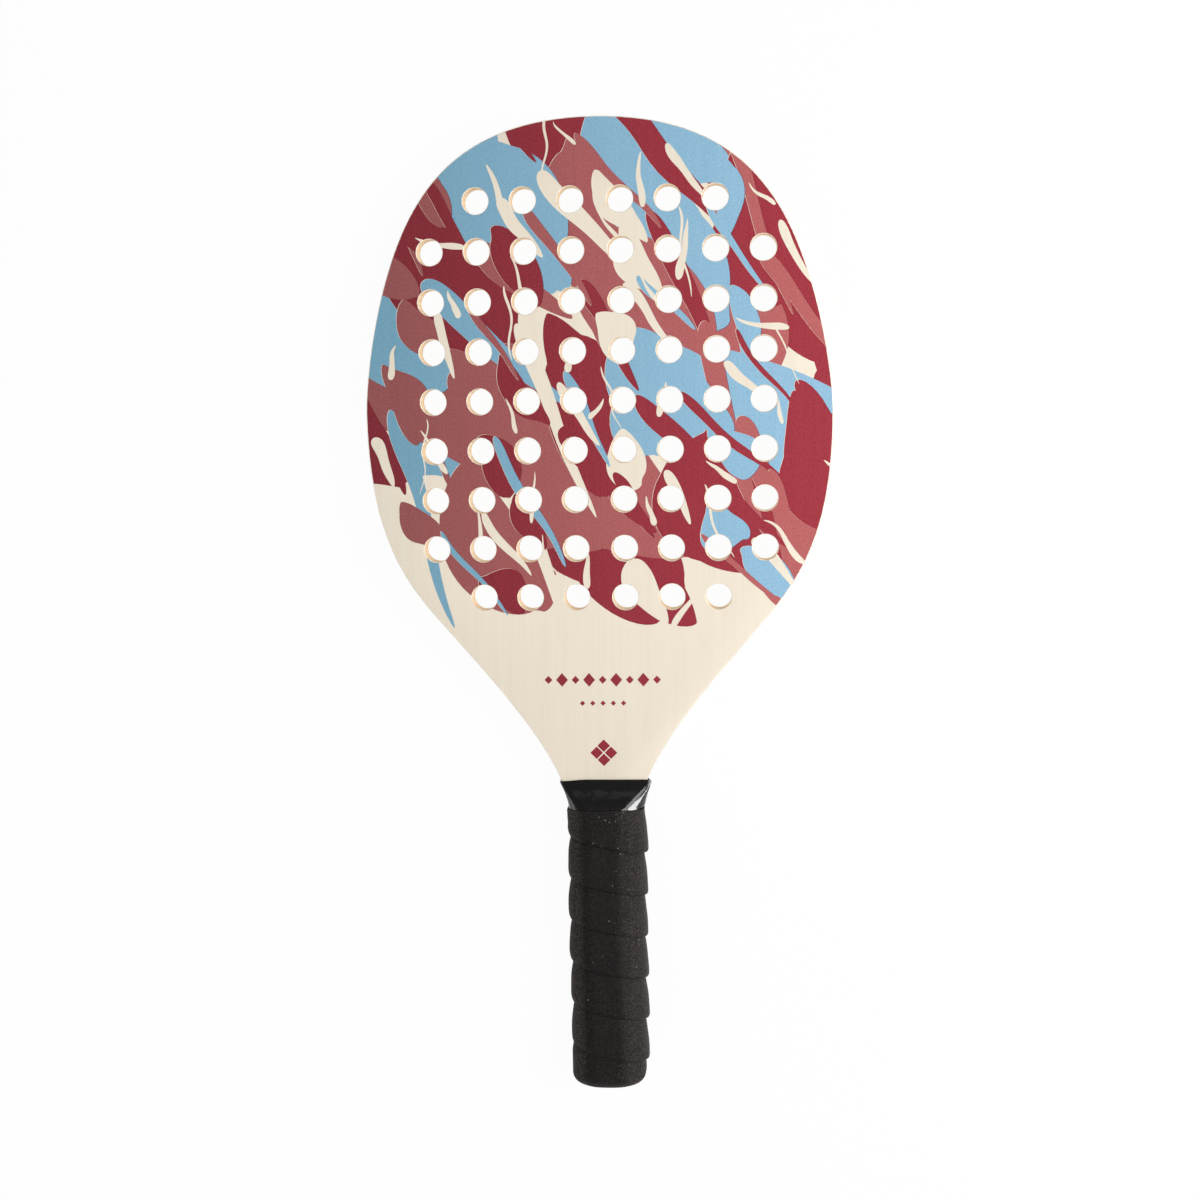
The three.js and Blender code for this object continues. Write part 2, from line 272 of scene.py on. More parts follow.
@dataclass
class Net:
    """A node tree. Its methods add nodes and give an output socket, apart from feed."""

    tree: NodeTree

    def feed(self, socket: NodeSocket, value: Fed) -> None:
        """Links a socket or sets its value.

        Args:
            socket: The socket.
            value: Another socket, a colour, a vector or a number, or None to leave it.
        """
        if isinstance(value, NodeSocket):
            self.tree.links.new(value, socket)
        elif value is not None:
            socket.default_value = (*value, 1) if socket.type == "RGBA" else value

    def add(self, kind: str, inputs: dict, output: str | int = 0, **settings: object) -> NodeSocket:
        """Adds any node.

        Args:
            kind: Its type, without the words that every shader node's type starts with.
            inputs: What feeds its inputs, by name or number.
            output: Which output to give.
            settings: Its other settings.

        Returns:
            The output socket.
        """
        node = self.tree.nodes.new(f"ShaderNode{kind}")
        for label, value in settings.items():
            setattr(node, label, value)
        for label, value in inputs.items():
            self.feed(node.inputs[label], value)
        return node.outputs[output]

    def noise(self, vector: NodeSocket, scale: float, detail: float, rough: float) -> NodeSocket:
        """Noise of a scale over a vector."""
        inputs = {"Vector": vector, "Scale": scale, "Detail": detail, "Roughness": rough}
        return self.add("TexNoise", inputs, "Fac")

    def scaled(self, vector: NodeSocket, scale: Place) -> NodeSocket:
        """A vector made longer or shorter along each axis."""
        return self.add("Mapping", {"Vector": vector, "Scale": scale})

    def axis(self, vector: NodeSocket, letter: str) -> NodeSocket:
        """A vector's share along X, Y or Z."""
        return self.add("SeparateXYZ", {0: vector}, letter)

    def maths(self, operation: str, first: Fed, second: Fed = None, clamp: bool = False) -> NodeSocket:
        """A sum over sockets or numbers."""
        return self.add("Math", {0: first, 1: second}, operation=operation, use_clamp=clamp)

    def times(self, first: Fed, second: Fed) -> NodeSocket:
        """One value times another."""
        return self.maths("MULTIPLY", first, second)

    def plus(self, first: Fed, second: Fed, clamp: bool = False) -> NodeSocket:
        """One value plus another."""
        return self.maths("ADD", first, second, clamp)

    def away(self, value: NodeSocket, middle: float) -> NodeSocket:
        """How far a value is from a middle one."""
        return self.maths("ABSOLUTE", self.maths("SUBTRACT", value, middle))

    def spread(
        self, value: NodeSocket, low: float, high: float, to_low: float = 0, to_high: float = 1
    ) -> NodeSocket:
        """A value's range spread over another and clamped there."""
        limits = {"From Min": low, "From Max": high, "To Min": to_low, "To Max": to_high}
        return self.add("MapRange", {"Value": value, **limits}, "Result")

    def blended(self, factor: NodeSocket, first: Fed, second: Fed, kind: str = "MIX") -> NodeSocket:
        """Two colours mixed by a factor."""
        inputs = {"Factor": factor, 6: first, 7: second}
        return self.add("Mix", inputs, 2, data_type="RGBA", blend_type=kind)

    def dots(self, vector: NodeSocket, scale: float, threshold: Fed) -> NodeSocket:
        """A mask of small round dots, of which those above a threshold show.

        Args:
            vector: The socket that places them.
            scale: How many there are to the metre.
            threshold: A socket or number from 0, where all show, to 1, where none does.

        Returns:
            The mask.
        """
        cells = self.add("TexVoronoi", {"Vector": vector, "Scale": scale}, "Distance")
        near = self.spread(cells, 0.24, 0.10)
        chance = self.add("SeparateColor", {"Color": cells.node.outputs["Color"]}, "Red")
        return self.times(near, self.maths("GREATER_THAN", chance, threshold))


class Group(Net):
    """A shader node group that gives a colour, a height and a roughness."""

    def __init__(self, name: str, colours: tuple[str, ...], values: tuple[str, ...]) -> None:
        """Starts the group, whose inputs are a vector and what a finish's fields of like names feed.

        Args:
            name: Its name.
            colours: Which of its inputs are colours.
            values: Which are numbers.
        """
        super().__init__(bpy.data.node_groups.new(name, "ShaderNodeTree"))
        inputs = [("Vector", "Vector"), *((label, "Color") for label in colours)]
        inputs += [(label, "Float") for label in values]
        outputs = (("Color", "Color"), ("Height", "Float"), ("Roughness", "Float"))
        for way, sockets in (("INPUT", inputs), ("OUTPUT", outputs)):
            for label, kind in sockets:
                self.tree.interface.new_socket(label, in_out=way, socket_type=f"NodeSocket{kind}")
        self.given = self.tree.nodes.new("NodeGroupInput").outputs

    def give(self, *values: NodeSocket) -> NodeTree:
        """Feeds the group's outputs.

        Args:
            values: The colour, the height and the roughness.

        Returns:
            The group.
        """
        for socket, value in zip(self.tree.nodes.new("NodeGroupOutput").inputs, values):
            self.feed(socket, value)
        return self.tree


class Coat(Net):
    """A new material with its Principled shader."""

    def __init__(self, name: str) -> None:
        """Starts the material.

        Args:
            name: Its name.
        """
        self.material = bpy.data.materials.new(name)
        self.material.use_nodes = True
        super().__init__(self.material.node_tree)

    def where(self) -> NodeSocket:
        """The place on the piece itself."""
        return self.add("TexCoord", {}, "Object")

    def group(self, group: NodeTree, finish: object, inputs: dict[str, NodeSocket]) -> Outputs:
        """Places a shared group and feeds it the finish's fields that are named as its inputs.

        Args:
            group: The group.
            finish: The finish.
            inputs: What feeds its other inputs.

        Returns:
            Its outputs.
        """
        node = self.add("Group", inputs, node_tree=group).node
        for socket in node.inputs:
            self.feed(socket, getattr(finish, socket.name, None))
        return node.outputs

    def shade(self, height: NodeSocket, depth: float, values: dict, strength: float = 0.5) -> Material:
        """Feeds the shader.

        Args:
            height: What its bump reads.
            depth: How deep the bump looks, in metres.
            values: What feeds the shader's inputs by name.
            strength: The bump's strength.

        Returns:
            The material.
        """
        bump = self.add("Bump", {"Height": height, "Distance": depth, "Strength": strength})
        shader = self.tree.nodes["Principled BSDF"]
        for label, value in {**values, "Normal": bump}.items():
            self.feed(shader.inputs[label], value)
        return self.material


def wood_grain() -> NodeTree:
    """Builds the group for straight wood grain that runs along the vector's Y axis.

    Returns:
        The group, which mixes two wood colours and can paint light on them, darker towards the left and
        lighter towards the right.
    """
    net = Group("straight_grain", ("pale", "dark"), ("contrast", "mottle", "fade", "roughness"))
    vector = net.given["Vector"]
    fibres = net.noise(net.scaled(vector, (1700, 26, 1700)), 1, 4, 0.62)
    streaks = net.noise(net.scaled(vector, (240, 5, 240)), 1, 3, 0.5)
    pores = net.noise(net.scaled(vector, (2600, 210, 2600)), 1, 2, 0.5)
    fine = net.spread(fibres, 0.34, 0.68)
    broad = net.spread(streaks, 0.32, 0.70)
    pore = net.spread(pores, 0.66, 0.76)
    both = net.plus(net.times(fine, 0.55), net.times(broad, 0.45))
    grained = net.times(net.plus(both, net.times(pore, 0.4)), net.given["contrast"])
    speckle = net.spread(net.noise(vector, 1150, 2, 0.75), 0.38, 0.64)
    factor = net.plus(grained, net.times(speckle, net.given["mottle"]), clamp=True)
    plain = net.blended(factor, net.given["pale"], net.given["dark"])
    # Painted light: the colour is darkened towards the left and lightened towards the right of the head,
    # standing in for the stronger lamps on the right. The fade input sets how much of it shows.
    across = net.spread(net.axis(vector, "X"), -0.10, 0.09)
    tint = net.blended(across, (0.75, 0.77, 0.79), (1.27, 1.10, 1.14))
    colour = net.blended(net.given["fade"], plain, tint, "MULTIPLY")
    rough = net.plus(net.given["roughness"], net.times(fine, 0.10))
    return net.give(colour, net.maths("SUBTRACT", fine, pore), rough)


def foam_nap() -> NodeTree:
    """Builds the group for the napped skin of foam tape.

    The nap wears at random. The bevels are painted lighter than the middle, the left one most, as painted
    light from the side lamps.
    Painted glints sit as pale specks along the ridge of the right bevel, among a few random pale specks,
    and painted shade turns the skin black where a lap comes close.

    Returns:
        The group.
    """
    net = Group("foam_nap", ("base", "wear_and_side_light", "speck"), ("gap", "roughness"))
    vector, speck = net.given["Vector"], net.given["speck"]
    x = net.axis(vector, "X")
    cells = net.noise(net.scaled(vector, (0.8, 1.2, 1.0)), 1050, 3, 0.72)
    clouds = net.noise(vector, 60, 4, 0.6)
    wear_and_side_light = net.times(net.spread(cells, 0.40, 0.66), net.spread(clouds, 0.3, 0.75, 0.7, 1.0))
    # Painted light: the wear is kept to a quarter in the middle, shows fully on the left bevel and mostly
    # on the right bevel, so the bevels read lighter and the middle darker, as the side lamps would make
    # them.
    left_bevel_painted_light = net.spread(x, -0.0095, -0.0135, 0.245, 1.0)
    right_bevel_painted_light = net.spread(x, 0.0085, 0.0125, 0.0, 0.6)
    wear_and_side_light = net.times(wear_and_side_light, net.plus(left_bevel_painted_light, right_bevel_painted_light))
    skin = net.blended(wear_and_side_light, net.given["base"], net.given["wear_and_side_light"])
    relief = net.times(cells, net.spread(net.away(x, 0.0), 0.0095, 0.0125, 1.0, 3.2))
    # Painted glints: pale specks crowded along the ridge of the right bevel and towards the top of the
    # band, where the lamps on the right would catch the nap.
    ridge_glints = net.dots(vector, 1500, net.spread(net.away(x, 0.0095), 0.0015, 0.0065, 0.70, 0.985))
    ridge_glints = net.times(ridge_glints, net.spread(clouds, 0.40, 0.62, 0.08, 0.7))
    ridge_glints = net.times(ridge_glints, net.spread(net.axis(vector, "Y"), -0.18, -0.12, 0.4, 1.0))
    crowd = net.spread(net.noise(vector, 35, 1, 0.5), 0.45, 0.65, 0.9992, 0.985)
    specked = net.blended(net.dots(vector, 1000, crowd), net.blended(ridge_glints, skin, speck), speck)
    # Painted shade: the skin turns black in the crease just under a lap's edge.
    colour = net.blended(net.spread(net.given["gap"], 0.0011, 0.0002), specked, (0.0, 0.0, 0.0))
    rough = net.plus(net.given["roughness"], net.spread(cells, 0.3, 0.7, -0.06, 0.06))
    return net.give(colour, relief, rough)


# Finishes


@dataclass
class Groups:
    """The shader groups that several finishes share, each built once."""

    grain: NodeTree = field(default_factory=wood_grain)
    nap: NodeTree = field(default_factory=foam_nap)


@dataclass(frozen=True)
class WoodFinish:
    """Wood, bare or inked, with straight grain."""

    name: str
    pale: Rgb
    dark: Rgb
    contrast: float
    roughness: float = 0.5
    relief: float = 0.03 * MM
    gloss: float = 0.5
    mottle: float = 0.0
    # How much of the painted light, darker at the left and lighter at the right, the colour takes.
    fade: float = 0.0

    def material(self, groups: Groups) -> Material:
        """Builds the material.

        Args:
            groups: The shared shader groups.

        Returns:
            The material.
        """
        coat = Coat(self.name)
        grain = coat.group(groups.grain, self, {"Vector": coat.where()})
        values = {"Base Color": grain["Color"], "Roughness": grain["Roughness"]}
        values["Specular IOR Level"] = self.gloss
        return coat.shade(grain["Height"], self.relief, values)


@dataclass(frozen=True)
class PliesFinish:
    """The inner plies: cross, centre and cross ply with a dark glue line at each joint."""

    low: float
    ply: float
    cross: WoodFinish = WoodFinish("cross", linear(242, 212, 168), linear(216, 176, 126), 0.6, 0.7)
    centre: WoodFinish = WoodFinish("centre", linear(250, 236, 208), linear(230, 206, 166), 0.5, 0.7)
    glue: Rgb = linear(196, 146, 96)
    name: str = "inner_plies"

    def material(self, groups: Groups) -> Material:
        """Builds the material.

        Args:
            groups: The shared shader groups.

        Returns:
            The material.
        """
        coat = Coat(self.name)
        where = coat.where()
        layer = coat.maths("DIVIDE", coat.maths("SUBTRACT", coat.axis(where, "Z"), self.low), self.ply)
        from_middle = coat.away(layer, 1.5)
        to_joint = coat.maths("MINIMUM", coat.away(from_middle, 0.5), coat.away(from_middle, 1.5))
        stretched = coat.scaled(where, (0.05, 1.0, 1.0))
        cross = coat.group(groups.grain, self.cross, {"Vector": stretched})
        centre = coat.group(groups.grain, self.centre, {"Vector": where})
        in_centre = coat.maths("LESS_THAN", from_middle, 0.5)
        wood = coat.blended(in_centre, cross["Color"], centre["Color"])
        colour = coat.blended(coat.spread(to_joint, 0.10, 0.03), wood, self.glue)
        return coat.shade(centre["Height"], 0.03 * MM, {"Base Color": colour, "Roughness": 0.75})


@dataclass(frozen=True)
class FoamFinish:
    """Matt black foam with a napped skin."""

    name: str
    # The colour of worn nap, also painted on the bevels as painted light.
    wear_and_side_light: Rgb
    # The colour of the pale specks, also used for the painted glints on the right ridge.
    speck: Rgb
    roughness: float
    base: Rgb = linear(3, 2, 2)
    gloss: float = 0.15
    sheen: float = 0.03
    relief: float = 0.4 * MM

    def material(self, groups: Groups) -> Material:
        """Builds the material.

        Args:
            groups: The shared shader groups.

        Returns:
            The material.
        """
        coat = Coat(self.name)
        # The distance below a lap's edge, where the nap group paints crease shade.
        gap = coat.add("Attribute", {}, "Fac", attribute_name=LAP_GAP)
        nap = coat.group(groups.nap, self, {"Vector": coat.where(), "gap": gap})
        values = {"Base Color": nap["Color"], "Roughness": nap["Roughness"]}
        values |= {"Specular IOR Level": self.gloss, "Sheen Weight": self.sheen}
        return coat.shade(nap["Height"], self.relief, values, 1.0)


@dataclass(frozen=True)
class VinylFinish:
    """Gloss black vinyl shrunk over the neck, with faint ripples."""

    name: str = "vinyl"
    colour: Rgb = linear(12, 10, 10)
    tint: float = 1.8
    roughness: float = 0.06
    smear: float = 0.09
    relief: float = 1.2 * MM

    def material(self) -> Material:
        """Builds the material.

        Returns:
            The material.
        """
        coat = Coat(self.name)
        where = coat.where()
        smears = coat.noise(where, 90, 4, 0.6)
        ripples = coat.noise(coat.scaled(where, (1.0, 2.2, 1.0)), 260, 3, 0.55)
        swells = coat.noise(coat.scaled(where, (1.0, 0.5, 1.0)), 75, 1, 0.5)
        tinted = tuple(value * self.tint for value in self.colour)
        values = {
            "Base Color": coat.blended(smears, self.colour, tinted),
            "Roughness": coat.spread(smears, 0.3, 0.75, self.roughness, self.roughness + self.smear),
        }
        return coat.shade(coat.plus(coat.times(ripples, 0.2), swells), self.relief, values)


# The blade


@dataclass
class BladeOutline:
    """The rim of the blade and the tang, mirrored about the centre line.

    Each node is a share of the half width, a share of the length down from the crown, and a heading in
    degrees. Each pair of handles is a share of the way between two nodes.
    """

    crown: float
    butt_end: float
    head_width: float = 223.6 * MM
    blade_length: float = 338 * MM
    tang_width: float = 32.4 * MM
    steps: int = 26
    nodes: tuple[Place, ...] = (
        (0, 0, 0),
        (0.756, 0.1154, 55.7),
        (1, 0.4089, 90),
        (0.6646, 0.7213, 130.7),
    )
    handles: tuple[Flat, ...] = ((0.592, 0.178), (0.342, 0.169), (0.573, 0.246), (0.331, 0.259))

    def __post_init__(self) -> None:
        """Works out the right side once, from the crown down to the tang's end."""
        knots = []
        for across, down, heading in self.nodes:
            angle = math.radians(heading)
            at = Vector((across * self.head_width / 2, self.crown - down * self.blade_length))
            knots.append((at, Vector((math.cos(angle), -math.sin(angle)))))
        knots.append((Vector((self.tang_width / 2, self.crown - self.blade_length)), Vector((0, -1))))
        self.right = [tuple(knots[0][0])]
        for (leave, arrive), (start, way), (end, end_way) in zip(self.handles, knots, knots[1:]):
            reach = (end - start).length
            near = start + way * leave * reach
            far = end - end_way * arrive * reach
            for step in range(1, self.steps + 1):
                t = step / self.steps
                u = 1 - t
                point = start * u**3 + near * 3 * t * u * u + far * 3 * t * t * u + end * t**3
                self.right.append(tuple(point))
        self.right.append((self.tang_width / 2, self.butt_end))

    def half_width(self, y: float) -> float:
        """Finds half the blade's width on the neck or the tang.

        Args:
            y: The height, below the middle of the racket.

        Returns:
            Half the width there.
        """
        for (x_above, y_above), (x_below, y_below) in zip(self.right, self.right[1:]):
            if y_below <= y <= y_above and y < 0:
                share = (y - y_below) / max(y_above - y_below, 1e-9)
                return x_below + (x_above - x_below) * share
        return self.tang_width / 2

    def loop(self, inset: float = 0.0) -> list[Flat]:
        """Gives the whole rim as a closed loop.

        Args:
            inset: How far inside the rim the loop runs.

        Returns:
            The points, from the crown round the left side.
        """
        left = [(-x, y) for x, y in self.right[1:]]
        points = [Vector(p) for p in left + self.right[:0:-1] + [self.right[0]]]
        moved = []
        for index, point in enumerate(points):
            along = points[(index + 1) % len(points)] - points[index - 1]
            inward = Vector((-along.y, along.x)).normalized()
            moved.append(tuple(point + inward * inset))
        return moved


@dataclass
class Blade:
    """The drilled plywood blade in three glued pieces: two face plies and the inner plies."""

    outline: BladeOutline
    front: float
    back: float
    plies: int = 5
    bore: float = 12.5 * MM
    rim_ease: float = 0.4 * MM
    hole_ease: float = 0.25 * MM
    overrun: float = 1 * MM
    hole_sides: int = 64
    rows: int = 9
    columns_each_side: int = 4
    column_pitch: float = 22.5 * MM
    centre_gap: float = 23.5 * MM
    row_pitch: float = 23.6 * MM
    crown_to_middle_row: float = 132.7 * MM
    smooth_to: float = 32

    def __post_init__(self) -> None:
        """Works out the thickness of a ply."""
        self.ply = (self.front - self.back) / self.plies

    def hole_centres(self) -> list[Flat]:
        """Places the holes, without the corner ones of the first and the last row.

        Returns:
            Their centres.
        """
        centres = []
        for row in range(self.rows):
            y = self.outline.crown - self.crown_to_middle_row
            y += ((self.rows - 1) / 2 - row) * self.row_pitch
            short = row in (0, self.rows - 1)
            for column in range(self.columns_each_side - int(short)):
                x = self.centre_gap / 2 + column * self.column_pitch
                centres += [(x, y), (-x, y)]
        return centres

    def _drill(self) -> Object:
        """Models one drill, flared where it leaves the faces, which eases the hole's edges.

        Returns:
            The drill, on the centre line.
        """
        depth = self.front - self.back - 2 * self.hole_ease
        middle = (self.front + self.back) / 2
        radius = self.bore / 2
        take(None)
        bpy.ops.mesh.primitive_cylinder_add(
            vertices=self.hole_sides, radius=radius, depth=depth, location=(0, 0, middle)
        )
        drill = bpy.context.object
        settle(drill)
        flare = (radius + self.hole_ease + self.overrun) / radius
        for side in (1, -1):
            rise = (self.hole_ease + self.overrun) * side
            centre = (0, 0, middle + (depth / 2) * side + rise)
            with editing_end(drill, side):
                bpy.ops.mesh.extrude_region_move(TRANSFORM_OT_translate={"value": (0, 0, rise)})
                bpy.ops.transform.resize(value=(flare, flare, 1), center_override=centre)
        return drill

    def _drills(self) -> Object:
        """Copies the drill to every hole.

        Returns:
            All the drills as one piece.
        """
        drill = self._drill()
        copies = []
        for x, y in self.hole_centres():
            copy = drill.copy()
            copy.data = drill.data.copy()
            copy.location = (x, y, 0)
            bpy.context.collection.objects.link(copy)
            copies.append(copy)
        bpy.data.objects.remove(drill)
        take(copies[0])
        for copy in copies:
            copy.select_set(True)
        bpy.ops.object.join()
        settle(copies[0])
        return copies[0]

    def _layer(self, name: str, low: float, high: float, ease_at: int) -> Object:
        """Models one layer of the blade before it is drilled.

        Args:
            name: The piece's name.
            low: Its lower face.
            high: Its upper face.
            ease_at: 1 to round over the upper edge, -1 the lower one and 0 neither.

        Returns:
            The layer.
        """
        loop = self.outline.loop()
        take(None)
        bpy.ops.mesh.primitive_circle_add(vertices=len(loop), radius=1, fill_type="NGON")
        piece = bpy.context.object
        piece.name = piece.data.name = name
        for vertex, (x, y) in zip(piece.data.vertices, loop):
            vertex.co = (x, y, low)
        with editing(piece):
            bpy.ops.mesh.extrude_region_move(TRANSFORM_OT_translate={"value": (0, 0, high - low)})
            face_outwards()
        if ease_at:
            with editing_end(piece, ease_at):
                bpy.ops.mesh.region_to_loop()
                bpy.ops.mesh.bevel(offset=self.rim_ease, segments=3, affect="EDGES")
        return piece

    def build(self, finishes: Finishes) -> None:
        """Builds, drills and dresses the layers.

        Args:
            finishes: The finishes by name.
        """
        front, back, ply = self.front, self.back, self.ply
        drills = self._drills()
        for name, low, high, ease_at, slot, finish, node in (
            ("front_ply", front - ply, front, 1, Slot.PRINTED, "poplar", "front_face_veneer"),
            ("inner_plies", back + ply, front - ply, 0, Slot.CROSS_PLY, "inner_plies", "core_plies"),
            ("back_ply", back, back + ply, -1, Slot.FACE_PLY, "poplar_back", "back_face_veneer"),
        ):
            layer = self._layer(name, low, high, ease_at)
            apply_modifier(layer, "BOOLEAN", operation="DIFFERENCE", solver="EXACT", object=drills)
            finish_piece(layer, [finishes[finish]], (node,), self.smooth_to)
        bpy.data.objects.remove(drills)


# The print


@dataclass
class Motif:
    """A closed shape of one ink, in millimetres."""

    ink: Ink
    points: list[Flat]


@dataclass(frozen=True)
class PatchSort:
    """One sort of leaf-shaped patch, in millimetres and degrees. Its lobes and dents are shallow."""

    lengths: Flat
    widths: Flat
    headings: Flat
    lobes: tuple[int, ...]
    dents: Flat


@dataclass(frozen=True)
class RibbonSort:
    """One sort of ribbon in the print, in millimetres and degrees."""

    inks: tuple[Ink, ...]
    count: int
    lengths: Flat
    widths: Flat
    headings: Flat
    shift: Flat
    bend: float = 0.25
    sway: float = 0.1
    taper: float = 0.6
    phase: float = 0.0


BARE, BURGUNDY, ROSE, BLUE = Ink.BARE, Ink.BURGUNDY, Ink.ROSE, Ink.BLUE
CYCLE = (ROSE, BURGUNDY, BLUE, ROSE, BARE, BURGUNDY, BURGUNDY, ROSE)
LARGE = PatchSort((74, 104), (46, 62), (-85, -25), (3, 4, 5), (0.06, 0.16))
SMALL = PatchSort((26, 46), (13, 22), (-85, -35), (2, 3), (0.04, 0.12))
BROAD = RibbonSort(CYCLE, 22, (56, 112), (8, 17), (-74, -44), (-18, 26), taper=0.7)
FINE_RIBBONS = (
    RibbonSort((BURGUNDY, BLUE, ROSE), 18, (36, 74), (3, 6.5), (-68, -50), (-12, 20), phase=0.3),
    RibbonSort((BARE,), 12, (22, 40), (4.5, 8), (-80, -40), (-8, 12), bend=0.3, phase=0.1),
    RibbonSort((BARE,), 30, (12, 30), (2.2, 4.8), (-125, -25), (0, 8), bend=0.6, taper=-0.75, phase=0.77),
    RibbonSort((BARE,), 9, (28, 46), (0.9, 1.6), (-105, -40), (-6, 16), 0.5, 0.3, 0.5, 0.45),
)


@dataclass
class FacePrint:
    """Ink on the head: leaf-shaped patches crossed by slanting ribbons, with bare slits between.

    The small patches and the ribbons are spread by a start, a width or drop, and a stride.
    """

    blade: Blade
    seed: int = 18
    lift: float = 0.02 * MM
    register: tuple[tuple[Pull, Flat], ...] = ((Pull.LAP, (0.24, -0.14)), (Pull.GAP, (-0.2, 0.1)))
    patch_steps: int = 72
    leafiness: float = 0.45
    leaf_curve: float = 0.22
    ribbon_steps: int = 26
    patch_rows: tuple[str, ...] = ("BUBURB", "BURUBR", "UB.RRB", "RRBUUB", "BURRBB", ".RBURB")
    patch_pitch: Flat = (42, 41)
    first_patch: Flat = (-105, 222)
    small_patches: int = 22
    small_across: Place = (-100, 205, 0.755)
    small_down: Place = (225, 215, 0.57)
    ribbons_across: Place = (-108, 216, 0.618)
    ribbons_down: Flat = (236, 226)
    lowest_drop: float = 30
    motifs: list[Motif] = field(default_factory=list)

    def _patch(self, at: Flat, sort: PatchSort, draw: random.Random) -> list[Flat]:
        """Draws a patch: an uneven oval drawn out to a curved leaf.

        Args:
            at: Its centre.
            sort: The sort of patch.
            draw: The source of its unevenness.

        Returns:
            Its points.
        """
        length, width = draw.uniform(*sort.lengths), draw.uniform(*sort.widths)
        lean = math.radians(draw.uniform(*sort.headings))
        lobes, dent = draw.choice(sort.lobes), draw.uniform(*sort.dents)
        turn = draw.uniform(0, math.tau)
        curve = draw.choice((-1, 1))
        waves = [(k, draw.uniform(0.04, 0.13), draw.uniform(0, math.tau)) for k in (1, 2, 3)]
        cosine, sine = math.cos(lean), math.sin(lean)
        points = []
        for index in range(self.patch_steps):
            angle = math.tau * index / self.patch_steps
            reach = 1 + sum(w * math.cos(k * angle + p) for k, w, p in waves)
            warped = angle + 0.5 * math.sin(angle + turn)
            reach *= 1 - dent + dent * abs(math.sin(lobes * warped / 2 + turn)) ** 0.8
            u = reach * length / 2 * math.cos(angle)
            v = reach * width / 2 * math.sin(angle) * abs(math.sin(angle)) ** self.leafiness
            v += self.leaf_curve * width * (math.cos(angle) ** 2 - 0.5) * curve
            points.append((at[0] + cosine * u - sine * v, at[1] + sine * u + cosine * v))
        return points

    def _ribbon(self, at: Flat, sort: RibbonSort, draw: random.Random) -> list[Flat]:
        """Draws a ribbon with rounded ends, thinner towards one of them.

        Args:
            at: Where it starts.
            sort: The sort of ribbon.
            draw: The source of its unevenness.

        Returns:
            Its points.
        """
        length, width = draw.uniform(*sort.lengths), draw.uniform(*sort.widths)
        heading = math.radians(draw.uniform(*sort.headings))
        bend = draw.uniform(-sort.bend, sort.bend)
        sides = [(draw.uniform(0.05, 0.16), draw.uniform(2, 5), draw.uniform(0, math.tau)) for _ in "ab"]
        _, slow_beat, slow_start = sides[0]
        left, right = [], []
        x, y = at
        before = 0.0
        for index in range(self.ribbon_steps + 1):
            t = (1 - math.cos(math.pi * index / self.ribbon_steps)) / 2
            way = heading + bend * math.sin(math.pi * (t - 0.1))
            way += sort.sway * math.sin(slow_beat * 2.4 * t + slow_start)
            x += length * (t - before) * math.cos(way)
            y += length * (t - before) * math.sin(way)
            before = t
            thinned = 1 - abs(sort.taper) * (t if sort.taper > 0 else 1 - t)
            swell = math.sqrt(max(0.0, 1 - abs(2 * t - 1) ** 5)) * thinned
            for side, points, (depth, beat, start) in zip((1, -1), (left, right), sides):
                half = width / 2 * swell * (1 + depth * math.sin(beat * 3 * t + start)) * side
                points.append((x - math.sin(way) * half, y + math.cos(way) * half))
        return right + left[-2:0:-1]

    @staticmethod
    def _lowest(x: float) -> float:
        """How low the print may reach at a distance across."""
        bowl, waves = 14 * (abs(x) / 70) ** 2, 9 * math.sin(x / 8.5)
        return -13 + bowl + waves

    def _add(self, ink: Ink, points: list[Flat]) -> None:
        """Adds a motif, moved up where it hangs below the print's edge, or none if it hangs far below.

        Args:
            ink: Its ink.
            points: Its points.
        """
        gap = min(y - self._lowest(x) for x, y in points)
        if gap >= -self.lowest_drop:
            self.motifs.append(Motif(ink, [(x, y - min(gap, 0)) for x, y in points]))

    def _lay_out(self) -> None:
        """Lays out every motif, the lowest first."""
        draw = random.Random(self.seed)
        letters = {"B": BURGUNDY, "R": ROSE, "U": BLUE, ".": BARE}
        spots = [(r, c) for r in range(len(self.patch_rows)) for c in range(len(self.patch_rows[0]))]
        draw.shuffle(spots)
        for row, column in spots:
            x = self.first_patch[0] + column * self.patch_pitch[0] + (row % 2) * self.patch_pitch[0] / 2
            y = self.first_patch[1] - row * self.patch_pitch[1]
            at = (x + draw.uniform(-7, 7), y + draw.uniform(-6, 6))
            self._add(letters[self.patch_rows[row][column]], self._patch(at, LARGE, draw))
        self._ribbons(draw, BROAD)
        left, width, stride = self.small_across
        top, drop, fall = self.small_down
        for index in range(self.small_patches):
            x = left + width * ((index * stride) % 1) + draw.uniform(-6, 6)
            y = top - drop * ((index * fall) % 1)
            self._add(CYCLE[(index * 2) % len(CYCLE)], self._patch((x, y), SMALL, draw))
        for sort in FINE_RIBBONS:
            self._ribbons(draw, sort)

    def _ribbons(self, draw: random.Random, sort: RibbonSort) -> None:
        """Adds a run of ribbons spread over the head.

        Args:
            draw: The source of their unevenness.
            sort: The sort of ribbon.
        """
        left, width, stride = self.ribbons_across
        top, drop = self.ribbons_down
        for index in range(sort.count):
            x = left + width * ((index * stride + sort.phase) % 1) + draw.uniform(-6, 6) + sort.shift[0]
            y = top - drop * ((index + 0.5) / sort.count) + draw.uniform(-8, 8) + sort.shift[1]
            self._add(sort.inks[index % len(sort.inks)], self._ribbon((x, y), sort, draw))

